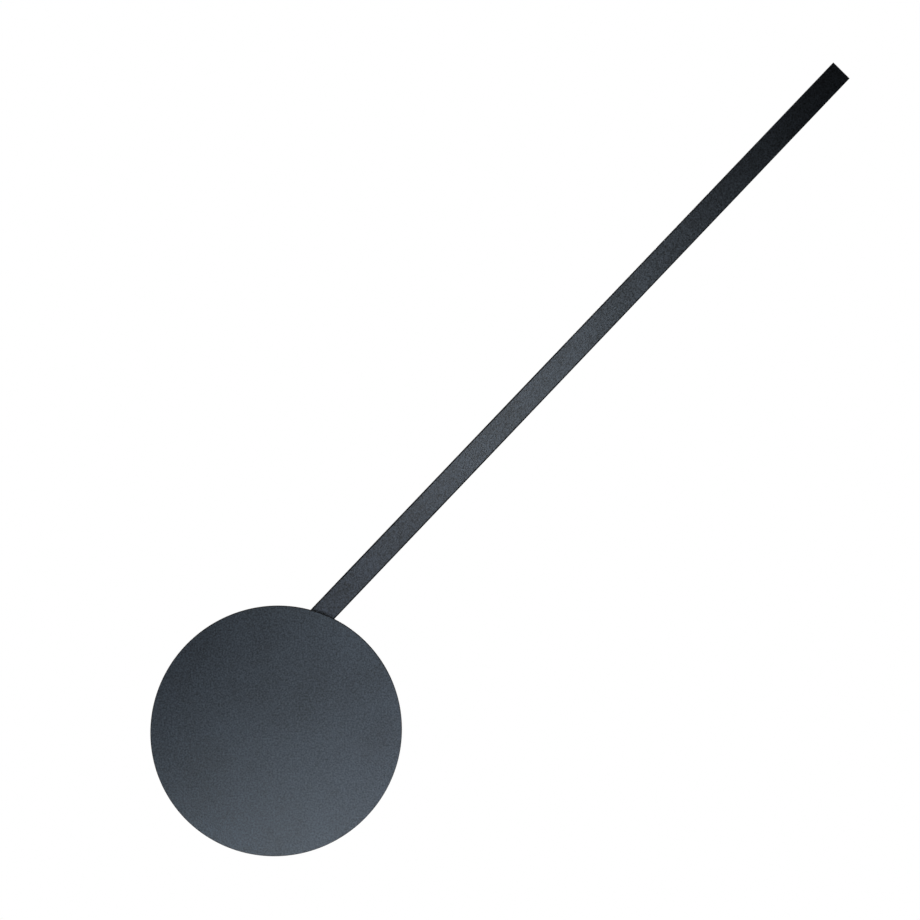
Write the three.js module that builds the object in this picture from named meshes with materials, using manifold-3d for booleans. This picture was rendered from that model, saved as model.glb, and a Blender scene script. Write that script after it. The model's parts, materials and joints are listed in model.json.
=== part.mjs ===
// A pendulum wall clock with one hand, in millimetres, +Z up, its front facing -Y.
// A long flat bar is the hand and turns once in twelve hours. A round disc hangs in front of it, off
// centre, on the same fixed spindle, and swings as the pendulum. A shallow round case behind the disc
// holds a quartz movement, a battery and the coil that keeps the disc swinging.
// The origin is the spindle's axis at the wall.
import * as THREE from "three";
import { mergeVertices } from "three/addons/utils/BufferGeometryUtils.js";
import Module from "manifold-3d";

// ---- Driving dimensions --------------------------------------------------------------------------

const DISC_DIAMETER = 210;
const DISC_THICKNESS = 2;
const HANG_OFFSET = 57.3; // from the spindle down to the disc's centre

const HAND_LENGTH = 708; // from the spindle to the tip
const HAND_WIDTH = 20;
const HAND_DEPTH = 4; // of the folded channel
const HAND_WALL = 0.8;
const HAND_TAIL = 18;
const HAND_ANGLE = THREE.MathUtils.degToRad(43.7); // clockwise from twelve o'clock

const PLATE_THICKNESS = 2;
const SHELL_WALL = 2;
const CASE_DEPTH = 28; // from the wall to the shell's front face
const HAND_STANDOFF = 2; // from the shell's front face to the channel's edges
const DISC_STANDOFF = 3; // from the hand's face to the disc's back

const SPINDLE_RADIUS = 3;
const JOURNAL_RADIUS = 1.5; // the groove in which the pendulum hangs
const SPINDLE_HEAD_RADIUS = 2.3;

const BATTERY_DIAMETER = 14.2;
const BATTERY_LENGTH = 50;

const SEAT_GAP = 0.2; // between pieces that rest on or in each other
const RUN_GAP = 0.3; // around pieces that turn or slide
const BEYOND = 1; // how far a cutting tool runs past what it cuts

const ROUND = 32; // sides of a middling circle
const FINE_ROUND = 72; // sides of the disc and the case
const SMALL_ROUND = 12; // sides of a screw or a pin

// Wheels and pinions of the motion work, which drives the hand, and of the time train.
const HOUR_TEETH = 56;
const MOTION_TEETH = 42;
const MOTION_PINION_TEETH = 14;
const MOTION_MODULE = 0.8;
const CENTRE_TEETH = 50;
const TRAIN_TEETH = 60;
const TRAIN_PINION_TEETH = 10;
const CENTRE_MODULE = 0.5;
const SLOW_MODULE = 0.4;
const FAST_MODULE = 0.36;

const SETTING_KNOB_RADIUS = 7;
const ARBOR_RADIUS = 0.9;
const PIVOT_RADIUS = 0.6;

// ---- Levels, each the distance from the wall -----------------------------------------------------

const plateFront = PLATE_THICKNESS;
const shellBack = CASE_DEPTH - SHELL_WALL;
const handBack = CASE_DEPTH + HAND_STANDOFF;
const handFront = handBack + HAND_DEPTH;
const discBack = handFront + DISC_STANDOFF;
const discFront = discBack + DISC_THICKNESS;

// ---- Materials -----------------------------------------------------------------------------------

function finish(color, roughness, metalness) {
  return new THREE.MeshStandardMaterial({ color, roughness, metalness });
}
const slateCoat = finish(0x434a52, 0.62, 0.15);
const blackPlastic = finish(0x1b1c1e, 0.55, 0);
const ivoryPlastic = finish(0xe8e2d0, 0.5, 0);
const zincSteel = finish(0xb9bcc0, 0.35, 0.9);
const brass = finish(0xc9a653, 0.35, 0.9);
const bronze = finish(0xa9743c, 0.4, 0.9);
const copper = finish(0xb4582c, 0.35, 0.9);
const ironCore = finish(0x77797c, 0.5, 0.8);
const magnetNickel = finish(0xc6c8ca, 0.25, 0.95);
const boardGreen = finish(0x1f5a35, 0.45, 0);
const batteryJacket = finish(0x2f3e66, 0.35, 0.2);

// ---- Solids: three.js makes them, manifold-3d only joins and cuts them ---------------------------

const wasm = await Module();
wasm.setup();

function toSolid(geometry) {
  const bare = geometry.clone();
  bare.deleteAttribute("normal");
  bare.deleteAttribute("uv");
  const merged = mergeVertices(bare, 1e-4);
  const vertProperties = merged.attributes.position.array;
  const triVerts = new Uint32Array(merged.index.array);
  return new wasm.Manifold(new wasm.Mesh({ numProp: 3, vertProperties, triVerts }));
}

function toGeometry(solid) {
  const { vertProperties, triVerts } = solid.getMesh();
  const geometry = new THREE.BufferGeometry();
  geometry.setAttribute("position", new THREE.BufferAttribute(vertProperties, 3));
  geometry.setIndex(new THREE.BufferAttribute(triVerts, 1));
  return geometry;
}

function join(first, ...rest) {
  return toGeometry(rest.reduce((sum, piece) => sum.add(toSolid(piece)), toSolid(first)));
}

function cut(body, ...tools) {
  return toGeometry(tools.reduce((left, tool) => left.subtract(toSolid(tool)), toSolid(body)));
}

// A flat shape in the clock's plane, standing from one level to another.
function slab(shape, back, front, curveSegments = 6) {
  const depth = front - back;
  const geometry = new THREE.ExtrudeGeometry(shape, { depth, bevelEnabled: false, curveSegments });
  return geometry.translate(0, 0, back);
}

// A turned piece about an axis through (x, y), from [radius, level] corners that start and end on the
// axis, or that close on themselves.
function turned(corners, [x, y] = [0, 0], sides = ROUND) {
  const profile = corners.map(([radius, level]) => new THREE.Vector2(radius, level));
  return new THREE.LatheGeometry(profile, sides).rotateX(Math.PI / 2).translate(x, y, 0);
}

function rod(radius, back, front, at, sides = SMALL_ROUND) {
  return turned([[0, back], [radius, back], [radius, front], [0, front]], at, sides);
}

function tube(outer, inner, back, front, at, sides = ROUND) {
  const corners = [[inner, back], [outer, back], [outer, front], [inner, front], [inner, back]];
  return turned(corners, at, sides);
}

function block([left, right], [bottom, top], [back, front]) {
  const box = new THREE.BoxGeometry(right - left, top - bottom, front - back);
  return box.translate((left + right) / 2, (bottom + top) / 2, (back + front) / 2);
}

// The range of a width about its middle, and a range brought in at both ends.
const around = (middle, width) => [middle - width / 2, middle + width / 2];
const inset = ([low, high], by) => [low + by, high - by];

function circle(radius, [x, y] = [0, 0]) {
  return new THREE.Shape().absarc(x, y, radius, 0, 2 * Math.PI);
}

function roundedRectangle([left, right], [bottom, top], radius) {
  const shape = new THREE.Shape();
  shape.absarc(right - radius, top - radius, radius, 0, Math.PI / 2);
  shape.absarc(left + radius, top - radius, radius, Math.PI / 2, Math.PI);
  shape.absarc(left + radius, bottom + radius, radius, Math.PI, 1.5 * Math.PI);
  shape.absarc(right - radius, bottom + radius, radius, 1.5 * Math.PI, 2 * Math.PI);
  return shape;
}

function node(name, geometry, material) {
  const mesh = new THREE.Mesh(geometry, material);
  mesh.name = name;
  return mesh;
}

function polar(centre, distance, degrees) {
  const angle = THREE.MathUtils.degToRad(degrees);
  return [centre[0] + distance * Math.cos(angle), centre[1] + distance * Math.sin(angle)];
}

// ---- Gears ---------------------------------------------------------------------------------------

const PRESSURE_ANGLE = THREE.MathUtils.degToRad(20);
const ADDENDUM = 0.75; // in modules
const DEDENDUM = 1.1; // in modules
const BACKLASH = 0.16; // in modules, on each tooth's thickness

const pitchRadius = (teeth, module) => (teeth * module) / 2;
const tipRadius = (teeth, module) => pitchRadius(teeth, module) + ADDENDUM * module;
const centreDistance = (a, b, module) => pitchRadius(a + b, module);

// Half the angle that an involute tooth spans at a radius. Below the base circle the flank is radial.
function halfToothAngle(teeth, module, radius) {
  const pitch = pitchRadius(teeth, module);
  const base = pitch * Math.cos(PRESSURE_ANGLE);
  const pressure = Math.acos(base / Math.max(radius, base));
  const involute = (angle) => Math.tan(angle) - angle;
  const atPitch = Math.PI / (2 * teeth) - (BACKLASH * module) / (2 * pitch);
  return atPitch + involute(PRESSURE_ANGLE) - involute(pressure);
}

// A gear's outline with tooth 0 centred on the angle phase, in radians.
function gearShape(teeth, module, phase = 0) {
  const flank = [pitchRadius(teeth, module) - DEDENDUM * module, tipRadius(teeth, module)];
  const points = [];
  for (let tooth = 0; tooth < teeth; tooth += 1) {
    const middle = phase + (tooth * 2 * Math.PI) / teeth;
    const side = (radius, way) => {
      const angle = middle + way * halfToothAngle(teeth, module, radius);
      points.push(new THREE.Vector2(radius * Math.cos(angle), radius * Math.sin(angle)));
    };
    flank.forEach((radius) => side(radius, -1));
    [...flank].reverse().forEach((radius) => side(radius, 1));
  }
  return new THREE.Shape(points);
}

// The phase that puts a gear in mesh with a turned neighbour, seen from that neighbour's centre.
function meshPhase(fromPhase, fromTeeth, from, toTeeth, to) {
  const direction = Math.atan2(to[1] - from[1], to[0] - from[0]);
  const share = ((direction - fromPhase) * fromTeeth) / (2 * Math.PI);
  return direction + Math.PI + ((share - 0.5) * 2 * Math.PI) / toTeeth;
}

// ---- Where the arbors stand ----------------------------------------------------------------------

const spindleAt = [0, 0];
const discCentre = [0, -HANG_OFFSET];
const motionReach = centreDistance(HOUR_TEETH, MOTION_PINION_TEETH, MOTION_MODULE);
const minuteReach = centreDistance(MOTION_TEETH, MOTION_PINION_TEETH, MOTION_MODULE);
const motionAt = polar(spindleAt, motionReach, 240);
const minuteAt = polar(motionAt, minuteReach, 300);
const settingAt = polar(motionAt, minuteReach, 200);
const slowAt = polar(minuteAt, centreDistance(CENTRE_TEETH, TRAIN_PINION_TEETH, CENTRE_MODULE), -30);
const fastAt = polar(slowAt, centreDistance(TRAIN_TEETH, TRAIN_PINION_TEETH, SLOW_MODULE), -120);
const rotorAt = polar(fastAt, centreDistance(TRAIN_TEETH, TRAIN_PINION_TEETH, FAST_MODULE), 180);

const handPhase = Math.PI / 2 - HAND_ANGLE;
const motionPinionPhase = meshPhase(handPhase, HOUR_TEETH, spindleAt, MOTION_PINION_TEETH, motionAt);
const minutePhase = meshPhase(0, MOTION_TEETH, motionAt, MOTION_PINION_TEETH, minuteAt);
const settingPhase = meshPhase(0, MOTION_TEETH, motionAt, MOTION_PINION_TEETH, settingAt);
const slowPinionPhase = meshPhase(0, CENTRE_TEETH, minuteAt, TRAIN_PINION_TEETH, slowAt);
const fastPinionPhase = meshPhase(0, TRAIN_TEETH, slowAt, TRAIN_PINION_TEETH, fastAt);
const rotorPinionPhase = meshPhase(0, TRAIN_TEETH, fastAt, TRAIN_PINION_TEETH, rotorAt);

// ---- Levels inside the case ----------------------------------------------------------------------

const baseBack = 4;
const BASE_FLOOR = 1.4;
const baseFloor = baseBack + BASE_FLOOR;
const pivotBack = baseBack + 0.8; // where the arbors' rear pivots end
const COVER_THICKNESS = 1.5;
const coverBack = 16;
const coverFront = coverBack + COVER_THICKNESS;
const pivotFront = coverFront - 0.7; // where the arbors' front pivots end
const POST_RADIUS = 1.5; // of the cover's post for the motion wheel
const hourWheelBack = coverFront + 2.5;
const hourWheelFront = hourWheelBack + 2;
const motionWheelBack = hourWheelFront + 0.8;
const motionWheelFront = motionWheelBack + 1.4;
const TRAIN_WHEEL = 0.8; // thickness of a train wheel
const TRAIN_PINION = 1.3; // how far a train pinion reaches past the back of the wheel it turns
const TRAIN_STEP = 2.2; // from one train wheel to the next
const centreWheelBack = 13.2;
const slowWheelBack = centreWheelBack - TRAIN_STEP;
const fastWheelBack = slowWheelBack - TRAIN_STEP;

// ---- Case: back plate, shell and their screws ----------------------------------------------------

const WHEEL_ROOM = 2.4; // between the hour wheel's tips and the shell's wall
const caseInner = HANG_OFFSET + tipRadius(HOUR_TEETH, MOTION_MODULE) + WHEEL_ROOM;
const caseOuter = caseInner + SHELL_WALL;
const PLATE_INSET = 1; // the plate's rim lies inside the shell's
const KEYHOLE_HEAD = 4.5;
const KEYHOLE_SLOT = 2.3;
const KEYHOLE_RISE = 8;
const keyholeSpread = 0.62 * caseInner;
const keyholes = [-1, 1].map((side) => [side * keyholeSpread, discCentre[1] + 0.35 * caseInner]);
const BOSS_RADIUS = 4;
const SHELL_SCREW_RADIUS = 1.5;
const SHELL_SCREW_HEAD = 2.8;
const SHELL_SCREW_REACH = 10; // how far a shell screw runs into its boss
const SINK_DEPTH = 1.6; // of the cone under a shell screw's head
const TAP_FLOOR = 0.4; // metal left under a blind tapped hole
const FLUSH = 0.1; // how far what ends in the back plate's rear face stays below it
const bossReach = caseInner - BOSS_RADIUS - 1;
const bosses = [35, 145, 300].map((degrees) => polar(discCentre, bossReach, degrees));
const SHELL_HOLE = 10; // radius of the hole that the hand's hub passes
const SHELL_RIM = 0.5; // the shell's rim stays this far off the wall

const TRAY_WALL = 1.4;
const batteryRadius = BATTERY_DIAMETER / 2;
const batteryLevel = plateFront + 1.4 + batteryRadius;
const trayInnerX = BATTERY_LENGTH / 2 + 3.4; // room for a contact at each end
const trayInnerY = batteryRadius + 0.5;
const MOVEMENT_DROP = 28; // from the rotor down to the movement's lower edge
const movementBottom = rotorAt[1] - MOVEMENT_DROP;
const batteryAt = [0, movementBottom - trayInnerY - TRAY_WALL - 1];
const trayFront = batteryLevel + batteryRadius + 0.6;
const DOOR_CORNER = 3;
const doorX = [-trayInnerX + 1, trayInnerX - 1];
const doorY = [batteryAt[1] - trayInnerY, batteryAt[1] + trayInnerY];

function keyhole([x, y]) {
  const shape = new THREE.Shape();
  const rise = Math.sqrt(KEYHOLE_HEAD ** 2 - KEYHOLE_SLOT ** 2);
  const start = Math.atan2(rise, KEYHOLE_SLOT);
  shape.absarc(x, y, KEYHOLE_HEAD, Math.PI - start, 2 * Math.PI + start);
  shape.absarc(x, y + KEYHOLE_RISE, KEYHOLE_SLOT, 0, Math.PI);
  shape.closePath();
  return shape;
}

function backPlate() {
  const outline = circle(caseInner - PLATE_INSET, discCentre);
  outline.holes.push(...keyholes.map(keyhole));
  outline.holes.push(circle(SETTING_KNOB_RADIUS + 1, settingAt));
  outline.holes.push(roundedRectangle(doorX, doorY, DOOR_CORNER));
  const shank = SHELL_SCREW_RADIUS + SEAT_GAP;
  const sinkCorners = [[0, -BEYOND], [SHELL_SCREW_HEAD + SEAT_GAP + BEYOND, -BEYOND], [shank, SINK_DEPTH],
    [shank, plateFront + BEYOND], [0, plateFront + BEYOND]];
  const sinks = bosses.map((at) => turned(sinkCorners, at, SMALL_ROUND));
  const taps = movementScrews.map((at) => rod(SCREW_RADIUS + SEAT_GAP, TAP_FLOOR, plateFront + BEYOND, at));
  const plate = slab(outline, 0, plateFront, FINE_ROUND / 6);
  return node("back_plate", cut(plate, ...sinks, ...taps), zincSteel);
}

function shellScrew(at, index) {
  const POINT = 1;
  const SLOT_LENGTH = 3.2;
  const SLOT_WIDTH = 0.7;
  const SLOT_FLOOR = 0.9;
  const tip = plateFront + SHELL_SCREW_REACH;
  const corners = [[0, FLUSH], [SHELL_SCREW_HEAD, FLUSH], [SHELL_SCREW_RADIUS, SINK_DEPTH],
    [SHELL_SCREW_RADIUS, tip], [0, tip + POINT]];
  const recess = block(around(at[0], SLOT_LENGTH), around(at[1], SLOT_WIDTH), [-BEYOND, SLOT_FLOOR]);
  return node(`shell_screw_${index + 1}`, cut(turned(corners, at, SMALL_ROUND), recess), zincSteel);
}

function caseShell() {
  const EDGE = 3; // the rounded corner between the shell's wall and its face
  const STEPS = 3;
  const INNER_EDGE = 1;
  const outer = [];
  for (let step = 0; step <= STEPS; step += 1) {
    const angle = (step * Math.PI) / (2 * STEPS);
    const radius = caseOuter - EDGE + EDGE * Math.cos(angle);
    outer.push([radius, CASE_DEPTH - EDGE + EDGE * Math.sin(angle)]);
  }
  const inner = [[caseInner - INNER_EDGE, shellBack], [caseInner, shellBack - INNER_EDGE]];
  const rim = [[caseInner, SHELL_RIM], [caseOuter, SHELL_RIM]];
  const corners = [...rim, ...outer, [0, CASE_DEPTH], [0, shellBack], ...inner, rim[0]];
  const shell = turned(corners, discCentre, FINE_ROUND);
  const posts = bosses.map((at) => rod(BOSS_RADIUS, plateFront + SEAT_GAP, shellBack + SHELL_WALL / 4, at));
  const holeFront = plateFront + SHELL_SCREW_REACH + 2;
  const holes = bosses.map((at) => rod(SHELL_SCREW_RADIUS + SEAT_GAP, 0, holeFront, at));
  const opening = rod(SHELL_HOLE, shellBack - BEYOND, CASE_DEPTH + BEYOND, spindleAt, ROUND);
  return node("case_shell", cut(join(shell, ...posts), ...holes, opening), blackPlastic);
}

// The battery door fills its window in the back plate, with a lip behind the plate and a finger slot.
function batteryDoor() {
  const LIP_INSET = 1.5;
  const LIP_HEIGHT = 0.6;
  const GROOVE = [4, 10, 0.9]; // the finger slot's width, height and depth
  const GROOVE_FROM_END = 7;
  const faceShape = roundedRectangle(inset(doorX, RUN_GAP), inset(doorY, RUN_GAP), DOOR_CORNER);
  const lipShape = roundedRectangle(inset(doorX, LIP_INSET), inset(doorY, LIP_INSET), DOOR_CORNER / 2);
  const face = slab(faceShape, FLUSH, plateFront - RUN_GAP);
  const lip = slab(lipShape, FLUSH + LIP_HEIGHT, plateFront + LIP_HEIGHT);
  const grooveX = around(doorX[1] - GROOVE_FROM_END, GROOVE[0]);
  const groove = block(grooveX, around(batteryAt[1], GROOVE[1]), [-BEYOND, GROOVE[2]]);
  return node("battery_door", cut(join(face, lip), groove), blackPlastic);
}

// ---- Spindle -------------------------------------------------------------------------------------

const SPINDLE_FLANGE = 13;
const hubSeat = hourWheelBack - 1.2; // where the hand's hub rests on the spindle's shoulder
const clipBack = CASE_DEPTH + 1.2;
const CLIP_THICKNESS = 0.6;
const grooveBack = handBack + 0.4;
const SNAP_LIP = 1.5;
const grooveFront = grooveBack + SNAP_LIP + 2 * RUN_GAP;
const spindleFront = grooveFront + 1.4;

function spindle() {
  const back = plateFront + SEAT_GAP;
  const clipGroove = [clipBack - 0.1, clipBack + CLIP_THICKNESS + 0.1];
  const corners = [
    [0, back], [SPINDLE_FLANGE, back], [SPINDLE_FLANGE, back + 2.5],
    [SPINDLE_RADIUS + 2, back + 4], [SPINDLE_RADIUS + 2, hubSeat - RUN_GAP],
    [SPINDLE_RADIUS, hubSeat - RUN_GAP],
    [SPINDLE_RADIUS, clipGroove[0]], [SPINDLE_RADIUS - 0.5, clipGroove[0]],
    [SPINDLE_RADIUS - 0.5, clipGroove[1]], [SPINDLE_RADIUS, clipGroove[1]],
    [SPINDLE_RADIUS, grooveBack], [JOURNAL_RADIUS, grooveBack],
    [JOURNAL_RADIUS, grooveFront], [SPINDLE_HEAD_RADIUS, grooveFront],
    [SPINDLE_HEAD_RADIUS, spindleFront - 0.5], [SPINDLE_HEAD_RADIUS - 0.5, spindleFront], [0, spindleFront],
  ];
  return node("spindle", turned(corners, spindleAt), zincSteel);
}

function spindleClip() {
  const inner = SPINDLE_RADIUS - 0.5 + 0.1;
  const outer = SPINDLE_RADIUS + 1.8;
  const ring = tube(outer, inner, clipBack, clipBack + CLIP_THICKNESS, spindleAt);
  const mouth = block([-1.6, 1.6], [-outer - 1, 0], [clipBack - 1, clipBack + CLIP_THICKNESS + 1]);
  return node("spindle_clip", cut(ring, mouth), zincSteel);
}

// ---- Hand: everything here is drawn with the bar pointing up, and the hand's group turns it ------

const HUB_REACH = 24; // how far the hub's block runs up into the bar
const HUB_NECK = 8;
const HUB_SPIGOT = 6;
const BUSH_WALL = 1.3;
const bushInner = SPINDLE_RADIUS + RUN_GAP / 2;
const bushOuter = bushInner + BUSH_WALL;
const hubBore = bushOuter + SEAT_GAP / 2;
const hubBack = hubSeat;
const blockBack = CASE_DEPTH + 0.6;
const blockFront = handFront - HAND_WALL - SEAT_GAP;
const blockHalfWidth = HAND_WIDTH / 2 - HAND_WALL - SEAT_GAP;
const BOSS_OUTER = 5.5; // of the boss behind the disc, which passes through the hand
const handHole = BOSS_OUTER + 1;
const SCREW_RADIUS = 1.4;
const SCREW_HEAD = 2.6;
const SCREW_HEAD_HEIGHT = 1.3;
const handScrews = [[0, 16], [0, -12]];

function handBar() {
  const along = [-HAND_TAIL, HAND_LENGTH];
  const half = HAND_WIDTH / 2;
  const outside = block([-half, half], along, [handBack, handFront]);
  const inside = half - HAND_WALL;
  const hollowY = [along[0] - BEYOND, along[1] - HAND_WALL];
  const hollow = block([-inside, inside], hollowY, [handBack - BEYOND, handFront - HAND_WALL]);
  const passage = rod(handHole, handBack, handFront + BEYOND, spindleAt, ROUND);
  const holes = handScrews.map((at) => rod(SCREW_RADIUS + SEAT_GAP, handBack, handFront + BEYOND, at));
  return node("hand_bar", cut(outside, hollow, passage, ...holes), slateCoat);
}

function handHub() {
  const carrierY = [1 - HAND_TAIL, HUB_REACH];
  const carrier = block([-blockHalfWidth, blockHalfWidth], carrierY, [blockBack, blockFront]);
  const neck = rod(HUB_NECK, hourWheelFront + SEAT_GAP, blockBack + 1, spindleAt, ROUND);
  const spigot = rod(HUB_SPIGOT, hubBack, hourWheelFront + 1, spindleAt, ROUND);
  const bore = rod(hubBore, hubBack - 1, blockFront + 1, spindleAt, ROUND);
  const counterbore = rod(handHole, clipBack - RUN_GAP, blockFront + 1, spindleAt, ROUND);
  const tapBack = blockBack + TAP_FLOOR;
  const taps = handScrews.map((at) => rod(SCREW_RADIUS + SEAT_GAP, tapBack, blockFront + BEYOND, at));
  return node("hand_hub", cut(join(carrier, neck, spigot), bore, counterbore, ...taps), zincSteel);
}

function hubBush(name, back, front) {
  return node(name, tube(bushOuter, bushInner, back, front, spindleAt), bronze);
}

function hourWheel() {
  const outline = gearShape(HOUR_TEETH, MOTION_MODULE, Math.PI / 2);
  const windows = [0, 90, 180, 270].map((degrees) => circle(3.6, polar(spindleAt, 14, degrees)));
  outline.holes.push(...windows);
  const bore = rod(HUB_SPIGOT + SEAT_GAP / 2, hourWheelBack - 1, hourWheelFront + 1, spindleAt, ROUND);
  return node("hour_wheel", cut(slab(outline, hourWheelBack, hourWheelFront, 4), bore), brass);
}

// A pan-head screw with a crossed recess, its head resting on the level seat.
function panScrew(name, at, seat, tip) {
  const under = seat + SEAT_GAP / 2;
  const top = under + SCREW_HEAD_HEIGHT;
  const corners = [[0, tip], [SCREW_RADIUS, tip + 0.5], [SCREW_RADIUS, under], [SCREW_HEAD, under],
    [SCREW_HEAD, top - 0.5], [SCREW_HEAD - 0.7, top], [0, top]];
  const [x, y] = at;
  const SLOT_LENGTH = 3;
  const SLOT_WIDTH = 0.6;
  const slot = [top - SCREW_HEAD_HEIGHT / 2, top + BEYOND];
  const across = block(around(x, SLOT_LENGTH), around(y, SLOT_WIDTH), slot);
  const upright = block(around(x, SLOT_WIDTH), around(y, SLOT_LENGTH), slot);
  return node(name, cut(turned(corners, at, SMALL_ROUND), across, upright), zincSteel);
}

function hand() {
  const group = new THREE.Group();
  group.rotation.z = -HAND_ANGLE;
  group.add(handBar(), handHub(), hourWheel());
  group.add(hubBush("hub_bush_rear", hubBack, hubBack + 3.5));
  group.add(hubBush("hub_bush_front", clipBack - RUN_GAP - 4, clipBack - RUN_GAP));
  handScrews.forEach((at, index) => {
    group.add(panScrew(`hand_screw_${index + 1}`, at, handFront, blockBack + 1));
  });
  return group;
}

// ---- Pendulum ------------------------------------------------------------------------------------

const SNAP_OUTER = 4;
const MAGNET_RADIUS = 9;
const MAGNET_THICKNESS = 1.6;
const COIL_RADIUS = 11;
const coilAt = [0, discCentre[1] - caseInner + COIL_RADIUS + 3];

function pendulumDisc() {
  const EDGE = 0.3; // the broken edge of the cut sheet
  const radius = DISC_DIAMETER / 2;
  const corners = [[0, discBack], [radius - EDGE, discBack], [radius, discBack + EDGE],
    [radius, discFront - EDGE], [radius - EDGE, discFront], [0, discFront]];
  return node("pendulum_disc", turned(corners, discCentre, FINE_ROUND), slateCoat);
}

// The boss stands on the back of the disc and passes through the hand.
function discBoss() {
  const back = grooveBack + 2 * RUN_GAP;
  const front = discBack - SEAT_GAP / 2;
  return node("disc_boss", tube(BOSS_OUTER, SNAP_OUTER + SEAT_GAP / 2, back, front), zincSteel);
}

// The bush in the boss snaps over the spindle's head, and its lip then runs in the groove.
function snapBush() {
  const back = grooveBack + RUN_GAP;
  const lipFront = back + SNAP_LIP;
  const front = discBack - SEAT_GAP / 2;
  const lipRadius = JOURNAL_RADIUS + RUN_GAP / 2;
  const pocketRadius = SPINDLE_HEAD_RADIUS + RUN_GAP;
  const corners = [[lipRadius, back], [SNAP_OUTER, back], [SNAP_OUTER, front], [pocketRadius, front],
    [pocketRadius, lipFront], [lipRadius, lipFront], [lipRadius, back]];
  return node("snap_bush", turned(corners, spindleAt), ivoryPlastic);
}

function pendulumMagnet() {
  const front = discBack - SEAT_GAP / 2;
  const magnet = rod(MAGNET_RADIUS, front - MAGNET_THICKNESS, front, coilAt, ROUND);
  return node("pendulum_magnet", magnet, magnetNickel);
}

function pendulum() {
  const group = new THREE.Group();
  group.add(pendulumDisc(), discBoss(), snapBush(), pendulumMagnet());
  return group;
}

// ---- Movement: base, cover and screws ------------------------------------------------------------

const BASE_WALL = 1.4;
const baseX = [settingAt[0] + SETTING_KNOB_RADIUS + 1, slowAt[0] + 18];
const baseY = [movementBottom, minuteAt[1] + 14.5];
const coverX = [settingAt[0] - 6, baseX[1]];
const coverY = [baseY[0], motionAt[1] + 6];
const movementScrews = [
  [baseX[0] + 4, baseY[0] + 4],
  [baseX[1] - 4, baseY[0] + 4],
  [baseX[1] - 4, baseY[1] - 4],
];
const pivotHole = PIVOT_RADIUS + RUN_GAP / 2;
const arborHole = ARBOR_RADIUS + RUN_GAP / 2;
const trainArbors = [slowAt, fastAt, rotorAt];

function movementBase() {
  const CORNER = 3;
  const FOOT_RADIUS = 3.2;
  const roomShape = roundedRectangle(inset(baseX, BASE_WALL), inset(baseY, BASE_WALL), CORNER - BASE_WALL);
  const box = slab(roundedRectangle(baseX, baseY, CORNER), baseBack, coverBack - SEAT_GAP);
  const room = slab(roomShape, baseFloor, coverBack + BEYOND);
  const footFront = coverBack - SEAT_GAP;
  const feet = movementScrews.map((at) => rod(FOOT_RADIUS, plateFront + SEAT_GAP, footFront, at));
  const bores = movementScrews.map((at) => rod(SCREW_RADIUS + SEAT_GAP, 0, coverBack + BEYOND, at));
  const pivots = [minuteAt, ...trainArbors].map((at) => rod(pivotHole, pivotBack - RUN_GAP, coverBack, at));
  return node("movement_base", cut(join(cut(box, room), ...feet), ...bores, ...pivots), blackPlastic);
}

function movementCover() {
  const outline = new THREE.Shape();
  outline.moveTo(coverX[1], coverY[0]);
  outline.lineTo(coverX[1], baseY[1]);
  outline.lineTo(minuteAt[0] + 6, coverY[1]);
  outline.lineTo(coverX[0], coverY[1]);
  outline.lineTo(coverX[0], settingAt[1] - 6);
  outline.lineTo(baseX[0], baseY[1] - 8);
  outline.lineTo(baseX[0], coverY[0]);
  outline.closePath();
  outline.holes.push(circle(ARBOR_RADIUS + 1.6, minuteAt));
  outline.holes.push(circle(ARBOR_RADIUS + 1.6, settingAt));
  outline.holes.push(...movementScrews.map((at) => circle(SCREW_RADIUS + SEAT_GAP, at)));
  const plate = slab(outline, coverBack, coverFront);
  const post = rod(POST_RADIUS, coverFront - COVER_THICKNESS / 2, motionWheelFront + 1.2, motionAt);
  const pivots = trainArbors.map((at) => rod(pivotHole, coverBack - BEYOND, pivotFront + RUN_GAP, at));
  return node("movement_cover", cut(join(plate, post), ...pivots), ivoryPlastic);
}

// ---- Wheels --------------------------------------------------------------------------------------

function wheel(teeth, module, back, front, at, phase = 0, windows = 0) {
  const outline = gearShape(teeth, module, phase);
  const middle = 0.58 * pitchRadius(teeth, module);
  const radius = 0.24 * pitchRadius(teeth, module);
  for (let index = 0; index < windows; index += 1) {
    outline.holes.push(circle(radius, polar([0, 0], middle, (index * 360) / windows)));
  }
  return slab(outline, back, front, 4).translate(at[0], at[1], 0);
}

function motionWheel() {
  const level = [hourWheelBack - 0.6, motionWheelBack + 0.2];
  const pinion = wheel(MOTION_PINION_TEETH, MOTION_MODULE, level[0], level[1], motionAt, motionPinionPhase);
  const disc = wheel(MOTION_TEETH, MOTION_MODULE, motionWheelBack, motionWheelFront, motionAt, 0, 4);
  const bore = rod(POST_RADIUS + RUN_GAP, level[0] - BEYOND, motionWheelFront + BEYOND, motionAt);
  return node("motion_wheel", cut(join(pinion, disc), bore), ivoryPlastic);
}

const STOUT_RADIUS = ARBOR_RADIUS + 0.6; // of an arbor that passes through the cover
const pinionFront = motionWheelFront + 0.4;

function motionPinion(at, phase) {
  return wheel(MOTION_PINION_TEETH, MOTION_MODULE, motionWheelBack - RUN_GAP, pinionFront, at, phase);
}

// The minute arbor carries the pinion that drives the motion wheel. The centre wheel slips on it.
const CLUTCH_THICKNESS = 0.4;
const clutchBack = centreWheelBack - CLUTCH_THICKNESS - RUN_GAP;

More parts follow.
